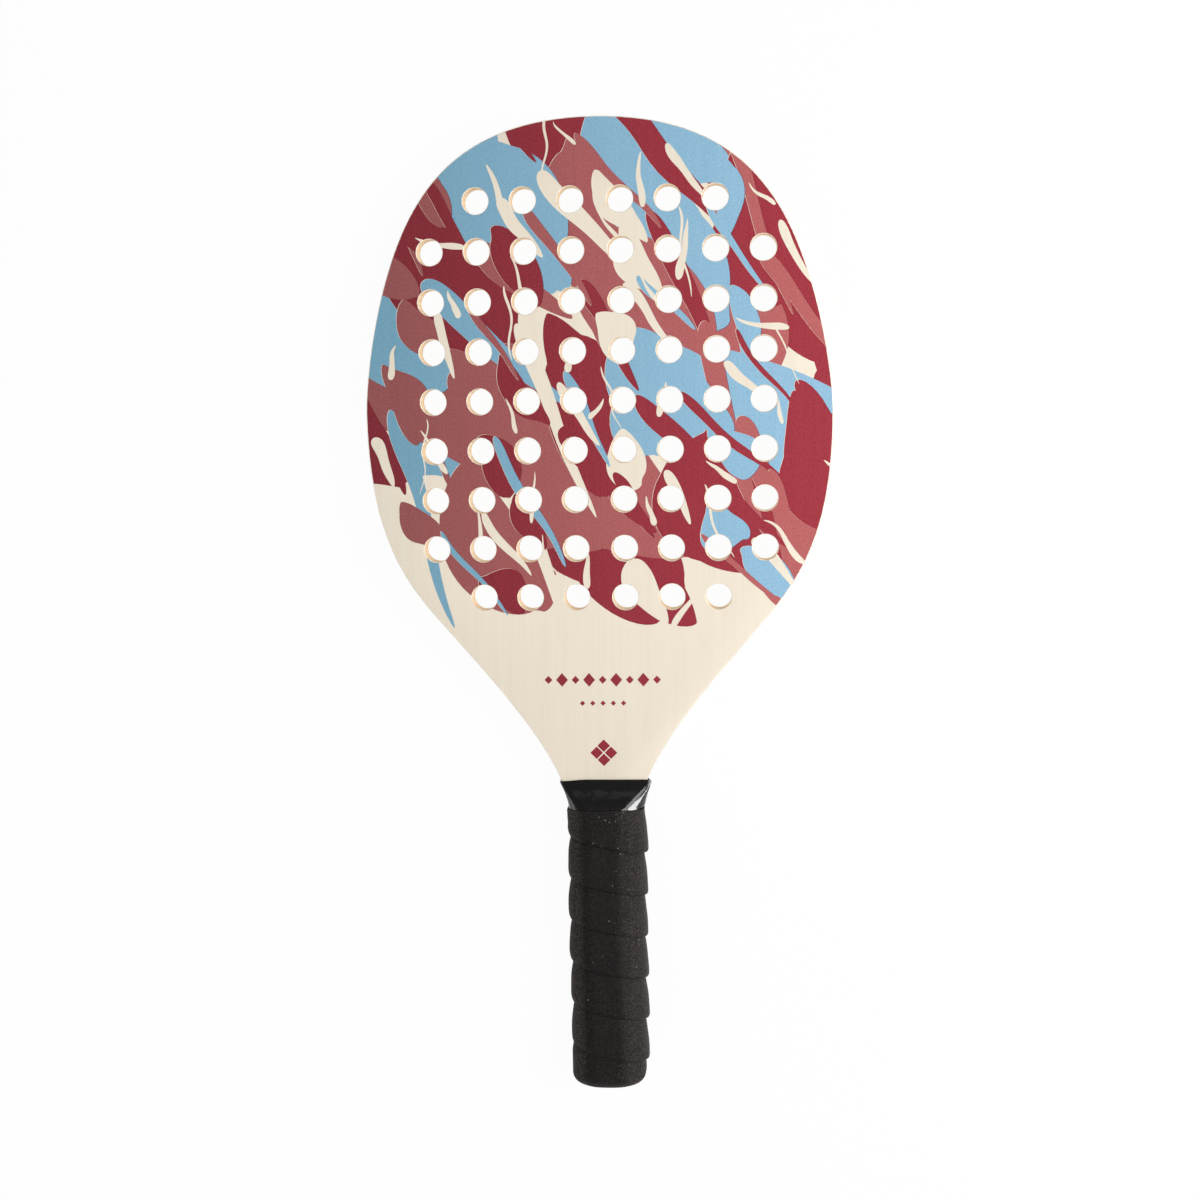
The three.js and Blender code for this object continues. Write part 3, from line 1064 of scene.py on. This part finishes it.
    @staticmethod
    def _ornament() -> list[Motif]:
        """Draws two rows of small lozenges on the bare throat, with four together below.

        Returns:
            The lozenges.
        """
        big, small, dot, petal = (2.9, 3.4), (1.9, 2.0), (1.3, 1.3), (3.1, 3.1)
        marks = [(x * 6.6, -31.5, big if x % 2 else small) for x in range(-4, 5)]
        marks += [(x * 5.0, -43.0, dot) for x in range(-2, 3)]
        marks += [(dx, -67.5 + dy, petal) for dx, dy in ((-3.5, 0), (3.5, 0), (0, -3.5), (0, 3.5))]
        return [
            Motif(BURGUNDY, [(x + wide, y), (x, y + high), (x - wide, y), (x, y - high)])
            for x, y, (wide, high) in marks
        ]

    @staticmethod
    def _ink_at(held: set[tuple[int, Pull]], painted: list[Motif]) -> Ink:
        """Finds the ink that shows at a place, where each ink is printed slightly out of register.

        Args:
            held: The loops round the place: each motif's number, and which of its loops it is.
            painted: The motifs in painting order.

        Returns:
            The ink.
        """
        for number in sorted({number for number, _ in held}, reverse=True):
            ink = painted[number].ink
            if (number, Pull.SHAPE) in held:
                return ink
            lower = [n for n, pull in held if pull is Pull.SHAPE and n < number]
            below = painted[max(lower)].ink if lower else BARE
            if below not in (BARE, ink):
                overlap = Ink.COOL_OVERLAP if BLUE in (ink, below) else Ink.WARM_OVERLAP
                return BARE if (number, Pull.GAP) in held else overlap
        return BARE

    def _triangles(self) -> tuple[list[Vector], list[tuple[list[int], Ink]]]:
        """Cuts the printed face into triangles by what lies on top.

        Returns:
            The points in millimetres, and the inked faces with their inks.
        """
        blade = self.blade
        painted = self.motifs + self._ornament()
        loops = [[(x / MM, y / MM) for x, y in blade.outline.loop(blade.rim_ease)]]
        radius = (blade.bore / 2 + blade.hole_ease) / MM
        turns = [math.tau * k / blade.hole_sides for k in range(blade.hole_sides)]
        for x, y in blade.hole_centres():
            loops.append([(x / MM + radius * math.cos(a), y / MM + radius * math.sin(a)) for a in turns])
        hole_loops = set(range(1, len(loops)))
        parts = {}
        for number, motif in enumerate(painted):
            pulls = [(Pull.SHAPE, (0, 0))]
            if motif.ink is not BARE and number < len(self.motifs):
                pulls += self.register
            for pull, (dx, dy) in pulls:
                parts[len(loops)] = (number, pull)
                loops.append([(x + dx, y + dy) for x, y in motif.points])
        points = [Vector(p) for loop in loops for p in loop]
        faces, start = [], 0
        for loop in loops:
            faces.append(list(range(start, start + len(loop))))
            start += len(loop)
        cut_points, _, cut_faces, _, _, origins = delaunay_2d_cdt(points, [], faces, 1, 1e-5)
        inked = []
        for face, origin in zip(cut_faces, origins):
            inside = set(origin)
            if 0 in inside and not inside & hole_loops:
                ink = self._ink_at({parts[loop] for loop in inside if loop in parts}, painted)
                if ink is not BARE:
                    inked.append((face, ink))
        return cut_points, inked

    def build(self, finishes: Finishes) -> None:
        """Builds the film of ink on the front ply, whose outlines no primitive can give.

        Args:
            finishes: The finishes by name.
        """
        self._lay_out()
        points, inked = self._triangles()
        used = sorted({index for face, _ in inked for index in face})
        place = {index: new for new, index in enumerate(used)}
        height = self.blade.front + self.lift
        inks = [ink for ink in Ink if ink is not BARE]
        mesh = bpy.data.meshes.new("face_print")
        corners = [(points[i].x * MM, points[i].y * MM, height) for i in used]
        mesh.from_pydata(corners, [], [[place[i] for i in face] for face, _ in inked])
        mesh.polygons.foreach_set("material_index", [inks.index(ink) for _, ink in inked])
        piece = bpy.data.objects.new("face_print", mesh)
        bpy.context.collection.objects.link(piece)
        with editing(piece):
            face_outwards()
        if mesh.polygons[0].normal.z < 0:
            mesh.flip_normals()
        finish_piece(piece, [finishes[ink.value] for ink in inks])


# The handle


@dataclass
class HandleForm:
    """The bevelled form of the handle under its sleeve and band."""

    outline: BladeOutline
    middle: float
    mouth: float
    ramp_foot: float
    seat: float = 5.1 * MM
    scale_thickness: float = 6.9 * MM
    land: float = 1.1 * MM
    bevel: float = 7.5 * MM
    tip: float = 0.4 * MM
    edge_points: tuple[int, ...] = (5, 12, 5, 5) * 2
    corner_points: int = 8
    most_cut: float = 0.42

    def _height(self, y: float) -> float:
        """How thick the scales are at a height along the handle."""
        share = min(1.0, max(0.0, (self.mouth - y) / (self.mouth - self.ramp_foot)))
        return self.scale_thickness * (1 - math.cos(share * math.pi / 2))

    def bevel_share(self, y: float) -> float:
        """How much of the full bevel the section has at a height."""
        return max(self._height(y), self.tip) / self.scale_thickness

    def _corners(self, y: float, grow: float, fin: Flat) -> list[Vector]:
        """Places the eight corners of the section.

        Args:
            y: The height along the handle.
            grow: How far outside the bare handle they lie.
            fin: How far the right side stands out, and how much lower its bevels reach.

        Returns:
            The corners, from the lower right one round over the front.
        """
        share = self.bevel_share(y)
        side = self.outline.half_width(y)
        face = self.seat + self._height(y)
        low = (side, face - (self.scale_thickness - self.land) * share)
        high = (side - self.bevel * share, face)
        half = [low, high, (-high[0], high[1]), (-low[0], low[1])]
        corners = [Vector(p) for p in half + [(-x, -z) for x, z in half]]
        corners[0] += Vector((fin[0], -fin[1] * share))
        corners[-1] += Vector((fin[0], fin[1] * share))
        normals = []
        for corner, after in zip(corners, corners[1:] + corners[:1]):
            along = (after - corner).normalized()
            normals.append(Vector((along.y, -along.x)))
        grown = []
        for index, corner in enumerate(corners):
            after, before = normals[index], normals[index - 1]
            grown.append(corner + (after + before) * (grow / (1 + after.dot(before))))
        return grown

    def ring(self, y: float, grow: float, radius: float, fin: Flat = (0.0, 0.0)) -> Ring:
        """Gives the section at a height as a ring of points with rounded corners.

        Args:
            y: The height along the handle.
            grow: How far outside the bare handle the ring runs.
            radius: The radius of its corners.
            fin: How far the right side stands out, and how much lower its bevels reach.

        Returns:
            The ring, from the lower right corner round over the front.
        """
        corners = self._corners(y, grow, fin)
        arcs = []
        for index, corner in enumerate(corners):
            back = corners[index - 1] - corner
            ahead = corners[(index + 1) % len(corners)] - corner
            half = (math.pi - back.angle(ahead)) / 2
            cut = min(radius * math.tan(half), self.most_cut * min(back.length, ahead.length))
            start = corner + back.normalized() * cut
            end = corner + ahead.normalized() * cut
            arc = []
            for step in range(self.corner_points):
                t = step / (self.corner_points - 1)
                arc.append(start * (1 - t) ** 2 + corner * 2 * t * (1 - t) + end * t * t)
            arcs.append(arc)
        ring = []
        for arc, after, count in zip(arcs, arcs[1:] + arcs[:1], self.edge_points):
            ring += arc
            ring += [arc[-1].lerp(after[0], step / (count + 1)) for step in range(1, count + 1)]
        return [Vector((p.x, y, p.y + self.middle)) for p in ring]


@dataclass
class NeckSleeve:
    """The gloss sleeve over the neck, from its mouth on the blade to under the band.

    Its right edge stands out as a fin. A share with "from" in its name is how far across that starts.
    """

    form: HandleForm
    end: float
    seat: float = 0.3 * MM
    wall: float = 0.5 * MM
    corner: float = 6 * MM
    lip: float = 0.3 * MM
    lip_reach: float = 0.6 * MM
    fin: Flat = (1.8 * MM, 2.6 * MM)
    fin_reach: Flat = (2.6 * MM, 4.6 * MM)
    mouth_fin: float = 0.5
    mouth_fin_reach: float = 5 * MM
    mouth_reach: float = 6 * MM
    fold: float = 0.6 * MM
    fold_fullness: float = 1.5
    fold_way: Flat = (0.67, 0.74)
    belly: float = 0.55 * MM
    belly_way: Flat = (0.62, 0.78)
    set_back: float = 0.3
    set_back_from: float = 0.85
    droop: float = 0.9 * MM
    droop_from: float = 0.35
    horn: float = 0.2 * MM
    horn_from: float = 0.9
    stations: int = 44
    crowding: float = 1.3
    smooth_to: float = 50

    def _crease(self, point: Vector, ridge: float, side: float, left: float, full: float) -> None:
        """Pushes a bevel's skin out: to a fold on the right, to a soft belly on the left.

        Args:
            point: The point, which is moved.
            ridge: How far from the centre line the bevels start.
            side: How far out the right side lies.
            left: How far out the left side lies.
            full: How much of the full bevel the section has.
        """
        way = math.copysign(1, point.z - self.form.middle)
        if point.x > ridge:
            place = min(1.0, (point.x - ridge) / (side - ridge))
            out = self.fold * full * (1 - abs(2 * place - 1) ** self.fold_fullness)
            point.x += self.fold_way[0] * out
            point.z += self.fold_way[1] * out * way
        elif -point.x > ridge:
            place = min(1.0, (-point.x - ridge) / (left - ridge))
            out = self.belly * full * math.sin(math.pi * place)
            point.x -= self.belly_way[0] * out
            point.z += self.belly_way[1] * out * way

    def _ring(self, y: float) -> Ring:
        """Shapes the sleeve at a height.

        Args:
            y: The height.

        Returns:
            Its outer ring there.
        """
        below = self.form.mouth - y
        curl = self.lip * (1 - smooth(below, 0, self.lip_reach))
        part = smooth(y - self.end, *self.fin_reach)
        part *= self.mouth_fin + (1 - self.mouth_fin) * smooth(below, 0, self.mouth_fin_reach)
        fin = (self.fin[0] * part, self.fin[1] * part)
        ring = self.form.ring(y, self.seat + self.wall - curl, self.corner, fin)
        fading = 1 - smooth(below, 0, self.mouth_reach)
        left = -min(point.x for point in ring)
        side = max(point.x for point in ring)
        face = max(point.z for point in ring)
        full = self.form.bevel_share(y)
        for point in ring:
            self._crease(point, left - self.form.bevel * full, side, left, full)
            across = point.x / side
            back = (face - point.z) * smooth(across, self.set_back_from, 1.0)
            point.y -= self.set_back * fading * back
            point.y -= self.droop * fading * smooth(-across, self.droop_from, 1.0)
            point.y += self.horn * fading * smooth(across, self.horn_from, 1.0)
        return ring

    def build(self, finishes: Finishes) -> None:
        """Builds and dresses the sleeve.

        Args:
            finishes: The finishes by name.
        """
        shares = [(station / self.stations) ** self.crowding for station in range(self.stations + 1)]
        length = self.end - self.form.mouth
        rings = [self._ring(self.form.mouth + length * share) for share in shares]
        sleeve = tube_through("neck_sleeve_gloss", rings)
        apply_modifier(sleeve, "SOLIDIFY", thickness=self.wall, offset=-1)
        finish_piece(sleeve, [finishes["vinyl"]], ("neck_sleeve",), self.smooth_to)


@dataclass
class GripBand:
    """The foam band wound up the handle, each turn lapped over the one below.

    A waver or ripple is a depth, its beat to the turn, and a start or a beat across the band.
    """

    form: HandleForm
    top: float
    end: float
    seat: float = 0.3 * MM
    thickness: float = 1.0 * MM
    lap_rise: float = 1.3 * MM
    lap_waver: Place = (0.12, 7.7, 2)
    width: float = 26 * MM
    pitch: float = 21.06 * MM
    waver: tuple[Place, ...] = ((0.22 * MM, 5.3, 0), (0.12 * MM, 17.9, 1))
    tip: float = 3 * MM
    edge: Flat = (0.8 * MM, 0.6 * MM)
    loose_edge: Flat = (4.4 * MM, 1.2 * MM)
    loose_at: float = 0.43
    upper_edge: Flat = (0.5 * MM, 0.4 * MM)
    edge_steps: tuple[float, ...] = (0, 0.05, 0.14, 0.3, 0.55, 0.9)
    face_steps: int = 16
    face_crowding: float = 1.3
    inner_shares: tuple[float, ...] = (0.97, 0.75, 0.5, 0.25, 0.03)
    ripple: Place = (0.06 * MM, 23, 0.7)
    swell: Flat = (3.4, 1.8)
    side_rise: float = 0.65 * MM
    right_pad: Flat = (0.4 * MM, 1.15 * MM)
    left_pad: Flat = (-0.85 * MM, -0.6 * MM)
    top_dip: float = 1.5 * MM
    corner: float = 11 * MM
    start_share: float = 0.54
    first_turn: float = 0.97
    fade: float = 0.25
    below_end: float = 4 * MM
    station_gap: float = 0.6 * MM
    girth_station: int = 9
    smooth_to: float = 60

    def __post_init__(self) -> None:
        """Measures the handle, as rings at even stations, bare and grown by a millimetre."""
        self.low = self.end - self.below_end
        count = int((self.top - self.low) / self.station_gap) + 2
        heights = [self.low + index * self.station_gap for index in range(count)]
        self.bare = [self.form.ring(y, 0, self.corner) for y in heights]
        self.grown = [self.form.ring(y, MM, self.corner) for y in heights]
        self.first_edge = self.end + self.tip - self.width
        self.last_turn = (self.top - self.tip - self.first_edge) / self.pitch
        around = self.bare[0]
        self.first_lap = [self.end] * len(around)
        half = max(place.x for place in around)
        self.rights = [smooth(place.x / half, SIDE_FROM, 1.0) for place in around]
        self.lefts = [smooth(-place.x / half, SIDE_FROM, 1.0) for place in around]
        middle = self.form.middle
        front = max(place.z for place in around) - middle
        self.tops = [self.top - self.top_dip * (1 - max(0.0, p.z - middle) / front) for p in around]
        girth = self.bare[self.girth_station]
        lengths = [(a - b).length for a, b in zip(girth, girth[1:] + girth[:1])]
        whole = sum(lengths)
        self.shares = [sum(lengths[:index]) / whole for index in range(len(girth))]

    @staticmethod
    def _rounding(along: float, edge: Flat) -> float:
        """Works out how far a rounded edge falls back.

        Args:
            along: The distance from the edge.
            edge: How far in the rounding reaches, and how far it falls.

        Returns:
            The fall.
        """
        reach, fall = edge
        if along >= reach:
            return 0.0
        return fall * (1 - math.sqrt(1 - (1 - along / reach) ** 2))

    def _face(self, along: float, y: float, rise: float, at: int) -> float:
        """Works out how far outside the handle the band's face lies, before its edges are rounded.

        Args:
            along: The distance up from the band's lower edge.
            y: The height.
            rise: How far the edge stands out over the turn below.
            at: The place's number round the handle.

        Returns:
            The distance from the bare handle.
        """
        right, left = self.rights[at], self.lefts[at]
        swell = self.swell[0] + (self.swell[1] - self.swell[0]) * right
        over = rise * (1 - min(1.0, along / self.pitch) ** swell)
        share = min(1.0, max(0.0, (y - self.end) / (self.top - self.end)))
        pads = [low + (high - low) * share for low, high in (self.right_pad, self.left_pad)]
        return self.seat + self.thickness + over + (pads[0] * right + pads[1] * left)

    def _point(self, at: int, y: float, depth: float) -> Vector:
        """Finds a point outside the handle.

        Args:
            at: Its number round the handle.
            y: Its height.
            depth: How far outside the bare handle it lies.

        Returns:
            The point.
        """
        place = min(max((y - self.low) / self.station_gap, 0), len(self.bare) - 1.001)
        lower, part = int(place), place % 1
        base = self.bare[lower][at].lerp(self.bare[lower + 1][at], part)
        out = self.grown[lower][at].lerp(self.grown[lower + 1][at], part) - base
        moved = base + out * (depth / MM)
        moved.y = y
        return moved

    def _lower_edge(self, turns: float) -> float:
        """How high the band's lower edge runs after a number of turns."""
        wave = sum(depth * math.sin(turns * beat + start) for depth, beat, start in self.waver)
        return self.first_edge + self.pitch * turns + wave

    def _section(self, at: int, turns: float, first_round: bool) -> tuple[Ring, list[float]]:
        """Cuts through the band, over its outer face and back along its inner one.

        Args:
            at: The place's number round the handle.
            turns: How many turns the band has made.
            first_round: Whether this is the first cut at that place.

        Returns:
            The points, and how far each lies below the next turn's edge.
        """
        lower_edge = self._lower_edge(turns)
        next_edge = self._lower_edge(turns + 1) if turns + 1 < self.last_turn else 1.0
        bottom = max(lower_edge, self.end)
        if first_round:
            self.first_lap[at] = bottom
        head = min(lower_edge + self.width, self.tops[at])
        span = (head - bottom) / MM
        full = smooth(turns, self.first_turn, self.first_turn + self.fade)
        more = self.side_rise * max(self.rights[at], self.lefts[at])
        rise = (self.lap_rise + more) * smooth(self.last_turn - turns, 0, self.fade)
        rise *= 1 + self.lap_waver[0] * math.sin(turns * self.lap_waver[1] + self.lap_waver[2])
        slack = max(0.0, math.cos(math.tau * (self.shares[at] - self.loose_at))) ** 3
        edge = tuple(tight + (loose - tight) * slack for tight, loose in zip(self.edge, self.loose_edge))
        last = self.edge_steps[-1]
        steps = [(k / self.face_steps) ** self.face_crowding for k in range(1, self.face_steps)]
        along = [*self.edge_steps, *(last + (span - 2 * last) * step for step in steps)]
        along += [span - offset for offset in reversed(self.edge_steps)]
        places = []
        for index, value in enumerate(along):
            y = bottom + value * MM
            depth = self._face(value * MM + bottom - lower_edge, y, rise, at)
            depth -= self._rounding(value * MM, edge)
            depth -= self._rounding((span - value) * MM, self.upper_edge)
            ripple = self.ripple[0] * math.sin(turns * self.ripple[1] + index * self.ripple[2])
            depth += ripple * math.sin(math.pi * value / span)
            places.append((y, depth * full + (1 - full) * self.seat))
        for share in self.inner_shares:
            y = bottom + (head - bottom) * share
            depth = self._face(y - lower_edge, y, rise, at)
            depth -= self._rounding(y - bottom, edge) + self.thickness + more
            places.append((y, max(self.seat, depth) * full))
        return [self._point(at, y, depth) for y, depth in places], [next_edge - y for y, _ in places]

    def build(self, finishes: Finishes) -> None:
        """Winds and dresses the band.

        Args:
            finishes: The finishes by name.
        """
        count = len(self.shares)
        start = min(range(count), key=lambda index: abs(self.shares[index] - self.start_share))
        rows, gaps = [], []
        step = start + int(self.first_turn * count)
        while True:
            rounds, at = divmod(step, count)
            turns = rounds + self.shares[at] - self.shares[start]
            if turns > self.last_turn:
                break
            row, row_gaps = self._section(at, turns, len(rows) < count)
            rows.append(row)
            gaps.append(row_gaps)
            step += 1
        band = tube_through("wound_band", rows, gaps)
        finish_piece(band, [finishes["foam"]], ("grip_band",), self.smooth_to)


@dataclass
class GripEnd:
    """The rounded end of the grip, under the band's first lap and over the butt."""

    form: HandleForm
    butt: float
    first_lap: list[float]
    length: float = 30 * MM
    stand_out: float = 1.3 * MM
    side_out: float = 0.8 * MM
    crease: float = 3.5 * MM
    rounding: float = 6.8 * MM
    corner: float = 11 * MM
    roundness: float = 0.85
    round_steps: int = 18
    straight_steps: int = 8
    smooth_to: float = 60

    def _rounded(self, ring: Ring, share: float) -> Ring:
        """Draws a ring part of the way to the oval that fits it.

        Args:
            ring: The ring.
            share: How far it is drawn, from 0 to 1.

        Returns:
            The rounder ring.
        """
        half_width = max(point.x for point in ring)
        half_height = max(point.z for point in ring) - self.form.middle
        rounder = []
        for point in ring:
            x, z = point.x / half_width, (point.z - self.form.middle) / half_height
            reach = math.hypot(x, z)
            oval = Vector((point.x / reach, point.y, self.form.middle + z * half_height / reach))
            rounder.append(point.lerp(oval, share))
        return rounder

    def _widened(self, ring: Ring, share: float) -> Ring:
        """Draws a ring out at both sides, except in the crease under the band's first turn.

        Args:
            ring: The ring.
            share: How much of the widening it gets.

        Returns:
            The wider ring.
        """
        half = max(point.x for point in ring)
        for point, edge in zip(ring, self.first_lap):
            out = self.side_out * share * smooth(edge - point.y, 0, self.crease)
            point.x += math.copysign(out * smooth(abs(point.x) / half, SIDE_FROM, 1.0), point.x)
        return ring

    def build(self, finishes: Finishes) -> None:
        """Builds and dresses the end.

        Args:
            finishes: The finishes by name.
        """
        rows = []
        for step in range(self.round_steps + 1):
            angle = step / self.round_steps * math.pi / 2
            inset = self.rounding * (1 - math.sin(angle))
            y = self.butt + self.rounding * (1 - math.cos(angle))
            ring = self.form.ring(y, self.stand_out - inset, self.corner)
            ring = self._rounded(ring, self.roundness * inset / self.rounding)
            rows.append(self._widened(ring, 1 - inset / self.rounding))
        straight = self.length - self.rounding
        for step in range(1, self.straight_steps + 1):
            y = self.butt + self.rounding + straight * step / self.straight_steps
            rows.append(self._widened(self.form.ring(y, self.stand_out, self.corner), 1.0))
        # How far each point lies below the first lap's edge, where the foam finish paints crease shade.
        gaps = [[edge - point.y for edge, point in zip(self.first_lap, ring)] for ring in rows]
        end = tube_through("grip_end", rows, gaps)
        finish_piece(end, [finishes["foam_end"]], ("butt_cap",), self.smooth_to)


# The studio


@dataclass(frozen=True)
class Panel:
    """A soft panel light that faces the racket: its place, width and height, watts and colour."""

    name: str
    at: Place
    size: Flat
    power: float
    tint: Rgb
    reach: Reach = Reach.ALL

    def hang(self) -> None:
        """Adds the light."""
        take(None)
        bpy.ops.object.light_add(type="AREA", location=self.at)
        light = bpy.context.object
        light.name = self.name
        light.data.shape = "RECTANGLE"
        light.data.size, light.data.size_y = self.size
        light.data.energy = self.power
        light.data.color = self.tint
        aim = Vector((0, 0, 15 * MM)) - Vector(self.at)
        light.rotation_euler = aim.to_track_quat("-Z", "Y").to_euler()
        light.visible_glossy = self.reach is not Reach.MATT
        light.visible_diffuse = self.reach is not Reach.GLOSS


@dataclass
class Studio:
    """The floor, the sky, the lights and the camera.

    The low strip on the right gleams on the sleeve's bevel, and the glow on the left greys its other one.
    """

    floor_size: float = 7.0
    floor_colour: Rgb = (0.92, 0.92, 0.92)
    camera_at: Place = (75.34 * MM, 104.44 * MM, 822.13 * MM)
    camera_turn: Place = (-6.081, 3.058, -0.717)
    lens: float = 50.402
    sensor: float = 36
    shift: Flat = (-0.055, -0.0208)
    camera_white: float = 0.95
    table_glow: float = 0.85
    world_level: float = 0.2
    panels: tuple[Panel, ...] = (
        Panel("right_panel", (0.76, 0.1, 0.77), (0.8, 0.9), 11.5, (1.0, 0.99, 0.97)),
        Panel("left_panel", (-1.2, 0.1, 1.1), (1.0, 1.0), 6.2, (0.97, 0.985, 1.0), Reach.MATT),
        Panel("near_panel", (-0.35, -1.2, 0.65), (1.2, 0.8), 4.4, (1.0, 0.99, 0.98), Reach.MATT),
        Panel("right_strip", (0.9, -0.12, 0.31), (1.1, 0.34), 21, (1.0, 1.0, 1.0), Reach.GLOSS),
        Panel("left_glow", (-0.95, 0.05, 0.18), (1.6, 0.32), 2.5, (0.9, 0.95, 1.0), Reach.GLOSS),
        Panel("ceiling_glow", (0.0, 0.74, 0.86), (0.34, 0.3), 0.1, (0.93, 0.96, 1.0), Reach.GLOSS),
    )

    def _floor_material(self) -> Material:
        """Builds a floor that shows white from above, keeps the shadow and is clear from below.

        Returns:
            The material.
        """
        coat = Coat("pale_floor")
        coat.tree.nodes.remove(coat.tree.nodes["Principled BSDF"])
        rays = coat.add("LightPath", {}).node.outputs
        seen = coat.maths("MAXIMUM", rays["Is Camera Ray"], rays["Is Glossy Ray"])
        seen = coat.maths("MAXIMUM", seen, rays["Is Transmission Ray"])
        glow = coat.times(rays["Is Diffuse Ray"], self.table_glow)
        seen = coat.maths("MAXIMUM", coat.times(seen, self.camera_white), glow)
        plain = coat.add("BsdfDiffuse", {"Color": self.floor_colour})
        above = coat.add("MixShader", {0: seen, 1: plain, 2: coat.add("Emission", {})})
        under = coat.times(coat.add("NewGeometry", {}, "Backfacing"), rays["Is Camera Ray"])
        sided = coat.add("MixShader", {0: under, 1: above, 2: coat.add("BsdfTransparent", {})})
        coat.feed(coat.tree.nodes["Material Output"].inputs["Surface"], sided)
        return coat.material

    def floor(self) -> None:
        """Adds the floor on which the grip lies."""
        take(None)
        bpy.ops.mesh.primitive_plane_add(size=self.floor_size, location=(0, 0, 0))
        floor = bpy.context.object
        floor.name = "floor"
        floor.data.materials.append(self._floor_material())

    def world(self) -> None:
        """Sets a dim, even sky that the eye sees as white, and gloss too near the horizon."""
        world = bpy.data.worlds.new("studio")
        bpy.context.scene.world = world
        world.use_nodes = True
        net = Net(world.node_tree)
        sky = net.tree.nodes["Background"]
        net.feed(sky.inputs["Color"], (self.world_level,) * 3)
        rays = net.add("LightPath", {}).node.outputs
        low = net.spread(net.axis(net.add("TexCoord", {}, "Generated"), "Z"), 0.45, 0.15)
        shiny = net.maths("MAXIMUM", rays["Is Glossy Ray"], rays["Is Transmission Ray"])
        seen = net.maths("MAXIMUM", rays["Is Camera Ray"], net.times(shiny, low))
        white = net.add("Background", {"Color": (1, 1, 1)})
        mixed = net.add("MixShader", {0: seen, 1: sky.outputs[0], 2: white})
        net.feed(net.tree.nodes["World Output"].inputs["Surface"], mixed)

    def camera(self) -> None:
        """Sets the camera at the photograph's angle."""
        data = bpy.data.cameras.new("camera")
        camera = bpy.data.objects.new("camera", data)
        bpy.context.collection.objects.link(camera)
        camera.location = self.camera_at
        camera.rotation_euler = Euler([math.radians(value) for value in self.camera_turn])
        data.lens = self.lens
        data.sensor_width = self.sensor
        data.shift_x, data.shift_y = self.shift
        data.clip_start = 10 * MM
        bpy.context.scene.camera = camera

    def build(self) -> None:
        """Sets up the whole studio."""
        self.floor()
        self.world()
        for panel in self.panels:
            panel.hang()
        self.camera()
        bpy.context.scene.view_settings.view_transform = "Standard"


def all_finishes(blade: Blade) -> Finishes:
    """Builds every material of the racket.

    Args:
        blade: The blade, whose ply lines the inner plies follow.

    Returns:
        The materials by name.
    """
    groups = Groups()
    finishes = [
        WoodFinish("poplar", linear(239, 229, 212), linear(222, 204, 177), 0.31),
        WoodFinish("poplar_back", linear(240, 230, 213), linear(218, 198, 166), 0.5),
        WoodFinish("scale_wood", linear(222, 190, 142), linear(178, 136, 88), 0.7, 0.7),
        PliesFinish(blade.back + blade.ply, blade.ply),
        # Foam: the wear colour, also painted on the bevels as painted light, then the speck colour, also
        # used for the painted glints.
        FoamFinish("foam", linear(80, 71, 66), linear(216, 209, 198), 0.66),
        FoamFinish("foam_end", linear(79, 70, 65), linear(205, 195, 182), 0.68),
    ]
    inks = {
        Ink.BURGUNDY: (linear(154, 50, 62), linear(128, 36, 48)),
        Ink.ROSE: (linear(175, 101, 100), linear(156, 84, 83)),
        Ink.BLUE: (linear(141, 190, 213), linear(120, 172, 197)),
        Ink.WARM_OVERLAP: (linear(122, 36, 48), linear(106, 28, 40)),
        Ink.COOL_OVERLAP: (linear(96, 68, 92), linear(80, 54, 76)),
    }
    for ink, (pale, dark) in inks.items():
        # The inks take the full painted light, darker at the left and lighter at the right of the head.
        mottled = {"relief": 0.02 * MM, "gloss": 0.2, "mottle": 0.7, "fade": 1}
        finishes.append(WoodFinish(ink.value, pale, dark, 0.3, 0.6, **mottled))
    made = {finish.name: finish.material(groups) for finish in finishes}
    made["vinyl"] = VinylFinish().material()
    return made


def dress_scales(material: Material) -> None:
    """Gives the two handle scales, which keep their CAD shape, their wood.

    Args:
        material: The wood.
    """
    for name in ("front_handle_scale", "back_handle_scale"):
        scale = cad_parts[name]
        scale.data.materials.clear()
        scale.data.materials.append(material)
        LOG.info("%s: finish only", name)


def main() -> None:
    """Builds the racket and its studio, piece by piece."""
    logging.basicConfig(level=logging.INFO, format="%(name)s: %(message)s")
    front_low, front_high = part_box("front_face_veneer")
    back_low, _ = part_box("back_face_veneer")
    sleeve_low, sleeve_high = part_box("neck_sleeve")
    band_low, band_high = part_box("grip_band")
    cap_low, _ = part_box("butt_cap")
    outline = BladeOutline(crown=front_high.y, butt_end=front_low.y)
    blade = Blade(outline, front=front_high.z, back=back_low.z)
    finishes = all_finishes(blade)
    blade.build(finishes)
    FacePrint(blade).build(finishes)
    middle = (front_high.z + back_low.z) / 2
    form = HandleForm(outline, middle, mouth=sleeve_high.y, ramp_foot=band_high.y + 0.3 * MM)
    NeckSleeve(form, end=sleeve_low.y).build(finishes)
    band = GripBand(form, top=band_high.y, end=band_low.y)
    band.build(finishes)
    GripEnd(form, cap_low.y, band.first_lap).build(finishes)
    dress_scales(finishes["scale_wood"])
    Studio().build()
    LOG.info("the racket is complete")


if __name__ == "__main__":
    main()
